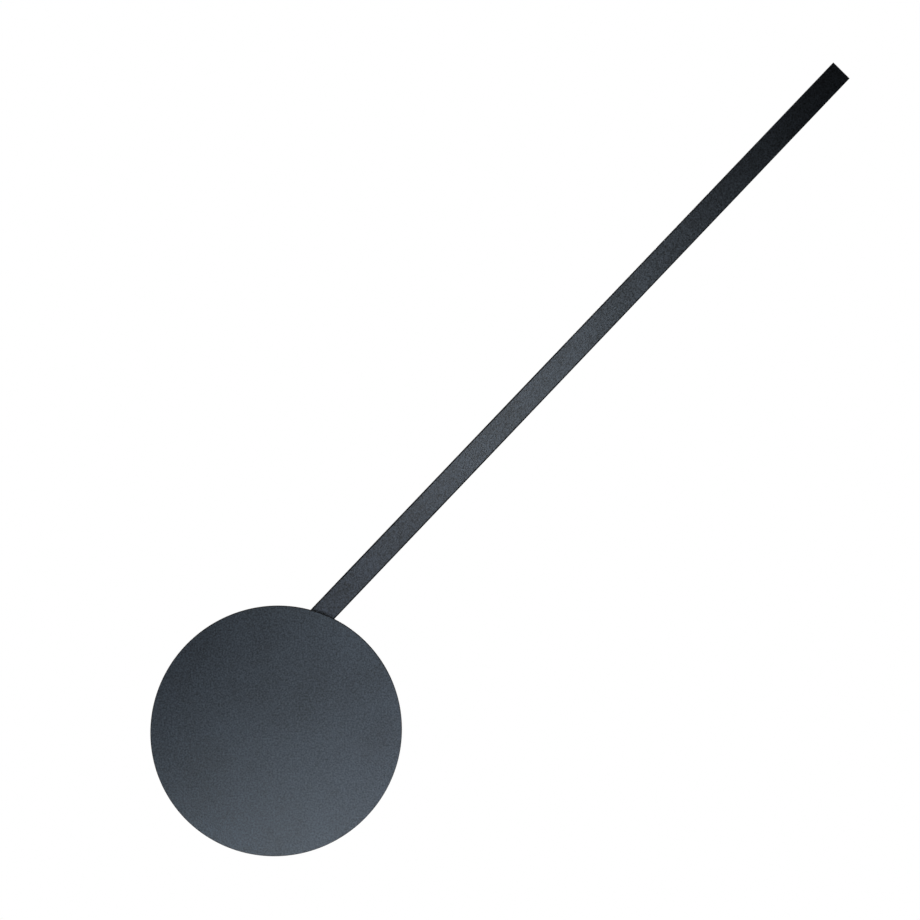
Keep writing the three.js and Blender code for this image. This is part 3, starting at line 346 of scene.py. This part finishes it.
def rounded(corners, steps=5):
    """A closed outline from (x, y, radius) corners, each with its own fillet."""
    points = []
    for index, (x, y, radius) in enumerate(corners):
        corner = Vector((x, y))
        if not radius:
            points.append(corner)
            continue
        before = (Vector(corners[index - 1][:2]) - corner).normalized()
        after = (Vector(corners[(index + 1) % len(corners)][:2]) - corner).normalized()
        half = before.angle(after) / 2
        centre = corner + (before + after).normalized() * (radius / math.sin(half))
        reach = radius / math.tan(half)
        start = corner + before * reach - centre
        end = corner + after * reach - centre
        for step in range(steps + 1):
            points.append(centre + radius * start.slerp(end, step / steps).normalized())
    return points


AXIS = Vector((0, 0))  # the spindle's axis in the clock's plane


def around(centre, radius, angle):
    return centre + radius * Vector((math.cos(angle), math.sin(angle)))


def circle(radius, at, sides=SIDES):
    turn = 2 * math.pi / sides
    return [Vector((radius * math.cos(i * turn), radius * math.sin(i * turn))) + at for i in range(sides)]


def rectangle(left, right, bottom, top, radius=0):
    corners = [(left, bottom), (right, bottom), (right, top), (left, top)]
    return rounded([(x, y, radius) for x, y in corners])


def new_piece(name, shape, turned_by=None):
    """A piece from a finished bmesh in the clock's plane, stood up in the world."""
    bmesh.ops.recalc_face_normals(shape, faces=shape.faces)
    shape.transform(STAND_UP @ turned_by if turned_by else STAND_UP)
    for face in shape.faces:
        face.smooth = True
    mesh = bpy.data.meshes.new(name)
    shape.to_mesh(mesh)
    shape.free()
    piece = bpy.data.objects.new(name, mesh)
    bpy.context.scene.collection.objects.link(piece)
    return piece


def lathe(name, profile, at=AXIS, sides=SIDES, turned_by=None):
    """A turned piece about an axis out from the wall. The profile is closed, as (radius, level) points."""
    shape = bmesh.new()
    turn = 2 * math.pi / sides
    columns = []
    for radius, level in profile:
        if radius < TOUCHING:
            columns.append([shape.verts.new((at.x, at.y, level))] * sides)
            continue
        column = []
        for i in range(sides):
            spot = (at.x + radius * math.cos(i * turn), at.y + radius * math.sin(i * turn), level)
            column.append(shape.verts.new(spot))
        columns.append(column)
    for first, second in zip(columns, columns[1:] + columns[:1]):
        for i in range(sides):
            j = (i + 1) % sides
            corners = list(dict.fromkeys([first[i], first[j], second[j], second[i]]))
            if len(corners) > 2:
                shape.faces.new(corners)
    return new_piece(name, shape, turned_by)


def slab(name, outlines, back, front, turned_by=None):
    """A flat piece with holes: the first outline is its rim and the others are its holes."""
    shape = bmesh.new()
    for outline in outlines:
        ring = [shape.verts.new((x, y, back)) for x, y in outline]
        for first, second in zip(ring, ring[1:] + ring[:1]):
            shape.edges.new((first, second))
    bmesh.ops.triangle_fill(shape, edges=shape.edges[:], use_beauty=True, use_dissolve=False)
    grown = bmesh.ops.extrude_face_region(shape, geom=shape.faces[:])
    lifted = [item for item in grown["geom"] if isinstance(item, bmesh.types.BMVert)]
    bmesh.ops.translate(shape, verts=lifted, vec=(0, 0, front - back))
    return new_piece(name, shape, turned_by)


def settle(piece):
    """Applies a piece's modifiers to its mesh."""
    bpy.context.view_layer.update()
    evaluated = piece.evaluated_get(bpy.context.evaluated_depsgraph_get())
    mesh = bpy.data.meshes.new_from_object(evaluated)
    piece.modifiers.clear()
    piece.data = mesh
    for polygon in mesh.polygons:
        polygon.use_smooth = True
    return piece


def combine(piece, others, operation="DIFFERENCE"):
    """Cuts the other pieces from this one, or joins them to it."""
    for other in others:
        change = piece.modifiers.new("combine", "BOOLEAN")
        change.operation = operation
        change.solver = "EXACT"
        change.object = other
    settle(piece)
    for other in others:
        bpy.data.objects.remove(other)
    return piece


def flatten(piece, ways):
    """Flat faces shade flat, so that only folds and round faces are shaded smoothly."""
    for polygon in piece.data.polygons:
        polygon.use_smooth = not any(abs(polygon.normal.dot(way)) > FLAT_MATCH for way in ways)
    return piece


def bevel_edges(piece, width):
    """Adds a modifier that gives the sharp edges their small radius."""
    bevel = piece.modifiers.new("edge", "BEVEL")
    bevel.width = width * MM
    bevel.segments = 2
    bevel.limit_method = "ANGLE"
    bevel.angle_limit = SHARP_ANGLE
    bevel.use_clamp_overlap = True


def break_edges(piece, width, ways=FLAT_WAYS):
    """Breaks the sharp edges of a finished mesh, and shades its flat faces flat again."""
    bevel_edges(piece, width)
    return flatten(settle(piece), ways)


def fit(piece, body, *nodes):
    """Finishes a piece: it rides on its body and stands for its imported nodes."""
    slot = NODE_SLOT[nodes[0]]
    piece.data.materials.clear()
    piece.data.materials.append(SLOT_MATERIALS[slot])
    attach(piece, body)
    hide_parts(*nodes)


# ---- Pendulum ------------------------------------------------------------------------------------

DISC_EDGE = 0.8
MAGNET_EDGE = 0.35


def round_plate(name, place, edge, sides=SIDES):
    """A flat round piece whose two edges have a radius."""
    radius = half_width(place)
    profile = rounded([
        (0, place.back, 0),
        (radius, place.back, edge),
        (radius, place.front, edge),
        (0, place.front, 0),
    ])
    return flatten(lathe(name, profile, middle(place), sides), FLAT_WAYS)


def disc_sheet():
    """The disc is cut from 2 mm sheet. Its edge is broken, and the coat rounds it a little more."""
    piece = round_plate("disc_sheet", place_of("pendulum_disc"), DISC_EDGE, FINE_SIDES)
    fit(piece, "pendulum", "pendulum_disc")


def drive_magnet():
    """The magnet that the movement's coil pushes, ground flat and plated."""
    piece = round_plate("drive_magnet", place_of("pendulum_magnet"), MAGNET_EDGE)
    fit(piece, "pendulum", "pendulum_magnet")


# ---- Hand ----------------------------------------------------------------------------------------

hand_screw_centre = middle(place_of("hand_screw_1"))
hand_angle = math.atan2(hand_screw_centre.x, hand_screw_centre.y)
hand_way = Vector((math.sin(hand_angle), 0, math.cos(hand_angle)))
TURN_HAND = Matrix.Rotation(-hand_angle, 4, "Z")
HAND_WIDTH = 20
HAND_WALL = 0.8
FOLD_RADIUS = 1.1  # outside the fold
HUB_PASSAGE = 6.5
SCREW_HOLE = 1.6
SLIT_WIDTH = 0.3


def hand_reach():
    """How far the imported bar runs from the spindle, back to its tail and out to its tip."""
    reach = [vertex.co.dot(hand_way) / MM for vertex in frame["nodes"]["hand_bar"].data.vertices]
    return min(reach), max(reach)


def screw_distance(node):
    """How far a screw in the hand stands from the spindle, negative towards the tail."""
    centre = middle(place_of(node))
    return centre.x * math.sin(hand_angle) + centre.y * math.cos(hand_angle)


def folded_block(name, half, tail, tip, back, front, radius):
    """A block with round edges along its front and at its tip, as folding leaves them."""
    shape = bmesh.new()
    section = [(-half, back), (half, back), (half, front), (-half, front)]
    rings = [[shape.verts.new((x, y, level)) for x, level in section] for y in (tail, tip)]
    shape.faces.new(rings[0])
    shape.faces.new(rings[1])
    for i in range(len(section)):
        j = (i + 1) % len(section)
        shape.faces.new((rings[0][i], rings[0][j], rings[1][j], rings[1][i]))
    folds = [
        edge for edge in shape.edges
        if all(vertex.co.z > front - TOUCHING for vertex in edge.verts)
        and not all(vertex.co.y < tail + TOUCHING for vertex in edge.verts)
    ]
    bmesh.ops.bevel(shape, geom=folds, offset=radius, segments=8, profile=0.5, affect="EDGES")
    return new_piece(name, shape, TURN_HAND)


def hand_channel():
    """The hand is one strip of aluminium folded to a shallow channel, with its tip folded shut."""
    tail, tip = hand_reach()
    place = place_of("hand_bar")
    half = HAND_WIDTH / 2
    inner = half - HAND_WALL
    piece = folded_block("hand_channel", half, tail, tip, place.back, place.front, FOLD_RADIUS)
    inside = folded_block("inside", inner, tail - CUT_PAST, tip - HAND_WALL,
                          place.back - CUT_PAST, place.front - HAND_WALL, FOLD_RADIUS - HAND_WALL)
    passage = slab("passage", [circle(HUB_PASSAGE, AXIS)], place.back, place.front + CUT_PAST)
    holes = [
        slab("hole", [circle(SCREW_HOLE, Vector((0, screw_distance(node))), SCREW_SIDES)],
             place.back, place.front + CUT_PAST, TURN_HAND)
        for node in ("hand_screw_1", "hand_screw_2")
    ]
    # The corner slits that let the end flap fold up between the side flanges.
    slits = []
    for left, right in ((-inner, SLIT_WIDTH - inner), (inner - SLIT_WIDTH, inner)):
        outline = rectangle(left, right, tip - HAND_WALL - SLIT_WIDTH, tip + CUT_PAST)
        slits.append(slab("slit", [outline], place.back - CUT_PAST, place.front - FOLD_RADIUS, TURN_HAND))
    combine(piece, [inside, passage, *holes, *slits])
    across = Vector((hand_way.z, 0, -hand_way.x))
    break_edges(piece, 0.1, (*FLAT_WAYS, hand_way, across))
    fit(piece, "hand", "hand_bar")


# ---- Screws --------------------------------------------------------------------------------------

# The countersunk screws that hold the shell.
SHANK = 1.5
SHANK_CONE = 1.5  # how deep the head is
SHANK_POINT = 1
SLOT_WIDTH = 0.7
SLOT_DEPTH = 0.8
SLOT_MARGIN = 1.2  # between the slot's ends and the head's rim

# The pan-head screws of the hand and the movement.
PAN_SHANK = 1.4
PAN_HEIGHT = 1.3
RECESS_LENGTH = 3
RECESS_WIDTH = 0.6
RECESS_DEPTH = 0.7


def bar_across(name, centre, length, width, back, front):
    across = Vector((length / 2, width / 2))
    outline = rectangle(centre.x - across.x, centre.x + across.x, centre.y - across.y, centre.y + across.y)
    return slab(name, [outline], back, front)


def shell_screw(node):
    """A countersunk screw with a plain slot, its head just below the back plate's rear face."""
    place = place_of(node)
    head = half_width(place)
    profile = rounded([
        (0, place.back, 0),
        (head, place.back, 0.15),
        (SHANK, place.back + SHANK_CONE, 0),
        (SHANK, place.front - SHANK_POINT, 0.2),
        (0, place.front, 0),
    ], steps=3)
    piece = lathe(node + "_turned", profile, middle(place), SCREW_SIDES)
    slot = bar_across("slot", middle(place), 2 * (head - SLOT_MARGIN), SLOT_WIDTH,
                      place.back - SMALL_CUT_PAST, place.back + SLOT_DEPTH)
    combine(piece, [slot])
    break_edges(piece, 0.05)
    fit(piece, "case", node)


def pan_screw(node, body):
    """A pan-head screw with a crossed recess."""
    place = place_of(node)
    head = half_width(place)
    head_foot = place.front - PAN_HEIGHT
    profile = rounded([
        (0, place.back, 0),
        (PAN_SHANK, place.back, 0.3),
        (PAN_SHANK, head_foot, 0),
        (head, head_foot, 0.1),
        (head, place.front, 0.6),
        (0, place.front, 0),
    ], steps=4)
    piece = lathe(node + "_turned", profile, middle(place), SCREW_SIDES)
    recess = (place.front - RECESS_DEPTH, place.front + SMALL_CUT_PAST)
    cross = [
        bar_across("recess", middle(place), RECESS_LENGTH, RECESS_WIDTH, *recess),
        bar_across("recess", middle(place), RECESS_WIDTH, RECESS_LENGTH, *recess),
    ]
    combine(piece, cross)
    break_edges(piece, 0.04)
    fit(piece, body, node)


# ---- Case ----------------------------------------------------------------------------------------

shell_place = place_of("case_shell")
plate_place = place_of("back_plate")
door_place = place_of("battery_door")
knob_centre = middle(place_of("setting_arbor"))
shell_screws = [f"shell_screw_{number}" for number in (1, 2, 3)]
SHELL_WALL = 2
SHELL_EDGE = 3
SHELL_RIM_EDGE = 0.3
SHELL_INSIDE_CORNER = 1
BOSS = 4
BOSS_GAP = 0.2  # from the back plate to a boss
SHELL_SCREW_BORE = 1.7
SINK_GAP = 0.2  # round a countersunk head
SINK_DEPTH = 1.6
SPINDLE_OPENING = 10
KEYHOLE_HEAD = 4.5
KEYHOLE_SLOT = 2.3
KEYHOLE_RISE = 8
KEYHOLE_OPENING_DROP = 3  # from the round hole's centre down to the foot of the stated opening
KNOB = 7
KNOB_HOLE = KNOB + 1
WINDOW_GAP = 0.3
DOOR_CORNER = 3
LIP_INSET = 1.2
GROOVE_WIDTH = 0.9
GROOVE_LENGTH = 10
GROOVE_DEPTH = 0.8
GROOVE_PITCH = 1.5
GROOVES_INSET = 6.7  # from the door's end to the middle groove


def shell_moulding():
    """One moulding: a round tray with a soft corner, and three bosses for the screws of the back plate."""
    outer = half_width(shell_place)
    inner = outer - SHELL_WALL
    face = shell_place.front
    profile = rounded([
        (inner, shell_place.back, SHELL_RIM_EDGE),
        (outer, shell_place.back, SHELL_RIM_EDGE),
        (outer, face, SHELL_EDGE),
        (0, face, 0),
        (0, face - SHELL_WALL, 0),
        (inner, face - SHELL_WALL, SHELL_INSIDE_CORNER),
    ], steps=8)
    piece = lathe("shell_moulding", profile, middle(shell_place), 2 * SIDES)
    bosses = []
    bores = []
    for node in shell_screws:
        screw = place_of(node)
        boss = circle(BOSS, middle(screw), SCREW_SIDES)
        bore = circle(SHELL_SCREW_BORE, middle(screw), SCREW_SIDES)
        bosses.append(slab("boss", [boss], plate_place.front + BOSS_GAP, face - SHELL_WALL / 2))
        bores.append(slab("bore", [bore], WALL, screw.front + SMALL_CUT_PAST))
    combine(piece, bosses, "UNION")
    opening = slab("opening", [circle(SPINDLE_OPENING, AXIS)], face - 2 * SHELL_WALL, face + CUT_PAST)
    combine(piece, [opening, *bores])
    break_edges(piece, 0.15)
    fit(piece, "case", "case_shell")


def keyhole(centre):
    """A round hole for the screw's head, with a slot above it that grips the shank."""
    rise = math.sqrt(KEYHOLE_HEAD**2 - KEYHOLE_SLOT**2)
    start = math.atan2(rise, KEYHOLE_SLOT)
    sweep = math.pi + 2 * start
    steps = 40
    outline = []
    for step in range(steps + 1):
        outline.append(around(centre, KEYHOLE_HEAD, math.pi - start + step * sweep / steps))
    top = centre + Vector((0, KEYHOLE_RISE))
    for step in range(steps // 2 + 1):
        outline.append(around(top, KEYHOLE_SLOT, step * math.pi / (steps // 2)))
    return outline


def keyhole_centres():
    """Each keyhole's round hole, from the opening that the record states for it."""
    centres = []
    for opening in frame["record"]["physics"]["openings"]:
        low, high = (Vector(corner) / MM for corner in opening["box_m"])
        centres.append(Vector(((low.x + high.x) / 2, low.z + KEYHOLE_OPENING_DROP)))
    return centres


def plate_pressing():
    """The back plate, pressed from 2 mm zinc-plated steel, with sinks for the shell's screws."""
    window = inset_rectangle(door_place, -WINDOW_GAP, DOOR_CORNER)
    rim = circle(half_width(plate_place), middle(plate_place), 2 * SIDES)
    holes = [*(keyhole(centre) for centre in keyhole_centres()), circle(KNOB_HOLE, knob_centre), window]
    piece = slab("plate_pressing", [rim, *holes], plate_place.back, plate_place.front)
    sinks = []
    for node in shell_screws:
        screw = place_of(node)
        mouth = half_width(screw) + SINK_GAP + SMALL_CUT_PAST
        foot = plate_place.front + SMALL_CUT_PAST
        profile = rounded([
            (0, WALL - SMALL_CUT_PAST, 0),
            (mouth, WALL - SMALL_CUT_PAST, 0),
            (SHELL_SCREW_BORE, WALL + SINK_DEPTH, 0),
            (SHELL_SCREW_BORE, foot, 0),
            (0, foot, 0),
        ])
        sinks.append(lathe("sink", profile, middle(screw), SCREW_SIDES))
    combine(piece, sinks)
    break_edges(piece, 0.2)
    fit(piece, "case", "back_plate")


def inset_rectangle(place, inset, corner):
    """A place's outline, set in from its edges."""
    return rectangle(place.left + inset, place.right - inset, place.bottom + inset, place.top - inset, corner)


def door_moulding():
    """The battery door: a plate with a lip behind it and three finger grooves at one end."""
    face_front = plate_place.front - WINDOW_GAP
    piece = slab("door_moulding", [inset_rectangle(door_place, 0, DOOR_CORNER)], door_place.back, face_front)
    lip = slab("lip", [inset_rectangle(door_place, LIP_INSET, DOOR_CORNER / 2)],
               face_front - JOIN_DEPTH, door_place.front)
    combine(piece, [lip], "UNION")
    middle_groove = Vector((door_place.right - GROOVES_INSET, middle(door_place).y))
    grooves = []
    for offset in (-GROOVE_PITCH, 0, GROOVE_PITCH):
        left = middle_groove.x + offset - GROOVE_WIDTH / 2
        right = middle_groove.x + offset + GROOVE_WIDTH / 2
        bottom = middle_groove.y - GROOVE_LENGTH / 2
        top = middle_groove.y + GROOVE_LENGTH / 2
        outline = rectangle(left, right, bottom, top, 0.4)
        grooves.append(slab("groove", [outline], door_place.back - SMALL_CUT_PAST,
                            door_place.back + GROOVE_DEPTH))
    combine(piece, grooves)
    break_edges(piece, 0.15)
    fit(piece, "door", "battery_door")


def ribbed_knob():
    """The setting knob, flush in the back plate, with a grip of soft ribs and a dished face."""
    place = place_of("setting_knob")
    ribs = 18
    points_per_rib = 12
    rib_height = 0.6
    crest = KNOB - 0.1
    grip_front = plate_place.front + 2.2
    count = ribs * points_per_rib
    outline = []
    for index in range(count):
        angle = 2 * math.pi * index / count
        outline.append(around(knob_centre, crest - rib_height * (1 - math.cos(ribs * angle)) / 2, angle))
    piece = slab("ribbed_knob", [outline], place.back, grip_front)
    neck_radius = 3
    neck = slab("neck", [circle(neck_radius, knob_centre)], grip_front - JOIN_DEPTH, place.front)
    combine(piece, [neck], "UNION")
    dish_mouth = 4.6
    dish_floor = 3.8
    dish_depth = 0.6
    dish = lathe("dish", rounded([
        (0, place.back - SMALL_CUT_PAST, 0),
        (dish_mouth, place.back - SMALL_CUT_PAST, 0),
        (dish_floor, place.back + dish_depth, 0.5),
        (0, place.back + dish_depth, 0),
    ]), knob_centre)
    arbor_bore = circle(1.6, knob_centre, SCREW_SIDES)
    bore = slab("bore", [arbor_bore], grip_front - SMALL_CUT_PAST, place.front + SMALL_CUT_PAST)
    combine(piece, [dish, bore])
    break_edges(piece, 0.12)
    fit(piece, "setting_work", "setting_knob")


def battery_cell():
    """An AA cell: a steel can in plain film, crimped at both ends, with its cap at the right."""
    place = battery_place
    centre = middle(place)
    level = (place.back + place.front) / 2
    radius = (place.front - place.back) / 2
    length = place.right - place.left
    cap = 2.7
    cap_height = 1
    shoulder = length - cap_height
    profile = rounded([
        (0, 0, 0),
        (radius - 0.5, 0, 0.3),
        (radius, 0.7, 0.4),
        (radius, shoulder - 0.7, 0.4),
        (radius - 0.6, shoulder, 0.3),
        (cap, shoulder, 0),
        (cap, length, 0.4),
        (0, length, 0),
    ])
    # The lathe turns about the way out from the wall, so the cell is turned to lie along x.
    lay_down = Matrix.Translation((place.left, centre.y, level)) @ Matrix.Rotation(math.pi / 2, 4, "Y")
    piece = lathe("battery_cell", profile, turned_by=lay_down)
    flatten(piece, FLAT_WAYS)
    fit(piece, "case", "battery")


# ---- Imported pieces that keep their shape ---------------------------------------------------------

BROKEN_EDGES = {
    "hand_hub": 0.3,
    "battery_tray": 0.3,
    "movement_cover": 0.15,
    "battery_positive_contact": 0.1,
}


def finish_packed_nodes():
    """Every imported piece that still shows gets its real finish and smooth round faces."""
    for name, node in frame["nodes"].items():
        if node.hide_render:
            continue
        slot = NODE_SLOT[name]
        material = drive_copper if name == "pendulum_coil_winding" else SLOT_MATERIALS[slot]
        node.data.materials.clear()
        node.data.materials.append(material)
        for polygon in node.data.polygons:
            polygon.use_smooth = True
        node.data.set_sharp_from_angle(angle=SMOOTH_ANGLE)
        if name in BROKEN_EDGES:
            bevel_edges(node, BROKEN_EDGES[name])


# ---- Camera, light and floor ---------------------------------------------------------------------

FLOOR_LEVEL = -0.9  # in metres, as the places of the camera and lights are


def aim(item, target):
    item.rotation_euler = (Vector(target) - item.location).to_track_quat("-Z", "Y").to_euler()


def make_camera():
    lens = bpy.data.cameras.new("camera")
    lens.lens = 50
    lens.sensor_width = 36
    camera = bpy.data.objects.new("camera", lens)
    camera.location = (0.08499, -1.1229, 0.15357)
    camera.rotation_euler = (math.radians(90.885), 0, math.radians(-3.648))
    bpy.context.scene.collection.objects.link(camera)
    bpy.context.scene.camera = camera


def softbox(name, at, target, size, power, colour="ffffff", spread=180):
    light = bpy.data.lights.new(name, "AREA")
    light.shape = "DISK"
    light.size = size
    light.energy = power
    light.color = hex_colour(colour)[:3]
    light.spread = math.radians(spread)
    item = bpy.data.objects.new(name, light)
    item.location = at
    item.visible_camera = False
    aim(item, target)
    bpy.context.scene.collection.objects.link(item)


def make_lights():
    """Two softboxes below light the disc, mostly its lower right. Two narrow ones at the upper left light the
    middle and the foot of the hand, so that its tip falls off into the dark. The rest light the back and the
    floor, and the wide ones stand in for a room's pale walls, which the zinc reflects."""
    disc_foot = (0.06, 0, -0.26)
    hand_middle = (0.24, 0, 0.24)
    hand_foot = (0.17, 0, 0.15)
    spindle_side = (0.1, 0, 0.1)
    below_right = (0.7, -0.9, -0.4)
    below_left = (-0.1, -0.9, -0.4)
    upper_left = (-0.1, -0.9, 0.4)
    softbox("disc_right", below_right, disc_foot, size=0.35, power=0.78, colour="ebedff", spread=50)
    softbox("disc_left", below_left, disc_foot, size=0.35, power=0.215, colour="f4fafb", spread=38)
    softbox("hand_left", upper_left, hand_middle, size=0.35, power=0.325, colour="fbfdff", spread=35)
    softbox("hand_foot", upper_left, hand_foot, size=0.35, power=0.04, colour="fbfdff", spread=35)
    softbox("back_right", (0.7, 2.2, 0.7), spindle_side, size=1.0, power=1.7, spread=50)
    softbox("back_left", (-0.9, 2.0, 0.2), spindle_side, size=1.0, power=1.1, spread=50)
    softbox("room_right", (1.8, 1.8, 0), spindle_side, size=2.4, power=10)
    softbox("room_left", (-1.8, 1.8, 0), spindle_side, size=2.4, power=10)
    softbox("room_above", (0.2, 1.2, 2.2), spindle_side, size=2.0, power=6)
    softbox("floor_light", (0, 0, -0.75), (0, 0, FLOOR_LEVEL), size=2.2, power=12)


def make_world():
    """Plain white behind the clock, and a dim grey room for what lights it."""
    world = bpy.data.worlds.new("studio")
    bpy.context.scene.world = world
    world.use_nodes = True
    tree = world.node_tree
    tree.nodes.clear()
    seen = add(tree, "ShaderNodeLightPath", {}, "Is Camera Ray")
    room = add(tree, "ShaderNodeBackground", {"Color": (1, 1, 1, 1), "Strength": 0.034})
    white = add(tree, "ShaderNodeBackground", {"Color": (1, 1, 1, 1), "Strength": 1.0})
    both = add(tree, "ShaderNodeMixShader", {0: seen, 1: room, 2: white})
    output = tree.nodes.new("ShaderNodeOutputWorld")
    tree.links.new(both, output.inputs["Surface"])
    bpy.context.scene.view_settings.view_transform = "Standard"


def make_floor():
    """A round of pale studio floor well below the clock."""
    shape = bmesh.new()
    bmesh.ops.create_circle(shape, cap_ends=True, radius=1.1, segments=SIDES)
    mesh = bpy.data.meshes.new("floor")
    shape.to_mesh(mesh)
    shape.free()
    floor = bpy.data.objects.new("floor", mesh)
    floor.location = (0, 0, FLOOR_LEVEL)
    floor.visible_diffuse = False  # its glow would lift the shaded end of the hand
    bpy.context.scene.collection.objects.link(floor)
    material, tree, shader, where = begin("pale_painted_floor", Metallic=0.0)
    mottle = add(tree, "ShaderNodeTexNoise", {"Vector": where, "Scale": per_mm(60), "Detail": 3.0})
    dress(tree, shader, ("e4e4e2", "efefed"), mottle, (0.7, 0.8), mottle, 0.1)
    mesh.materials.append(material)


# ---- The clock -----------------------------------------------------------------------------------

make_camera()
make_world()
make_lights()
make_floor()

disc_sheet()
drive_magnet()
hand_channel()
for screw in ("hand_screw_1", "hand_screw_2"):
    pan_screw(screw, "hand")
for screw in ("movement_screw_1", "movement_screw_2", "movement_screw_3"):
    pan_screw(screw, "case")
for screw in shell_screws:
    shell_screw(screw)
shell_moulding()
plate_pressing()
door_moulding()
ribbed_knob()
battery_cell()
finish_packed_nodes()
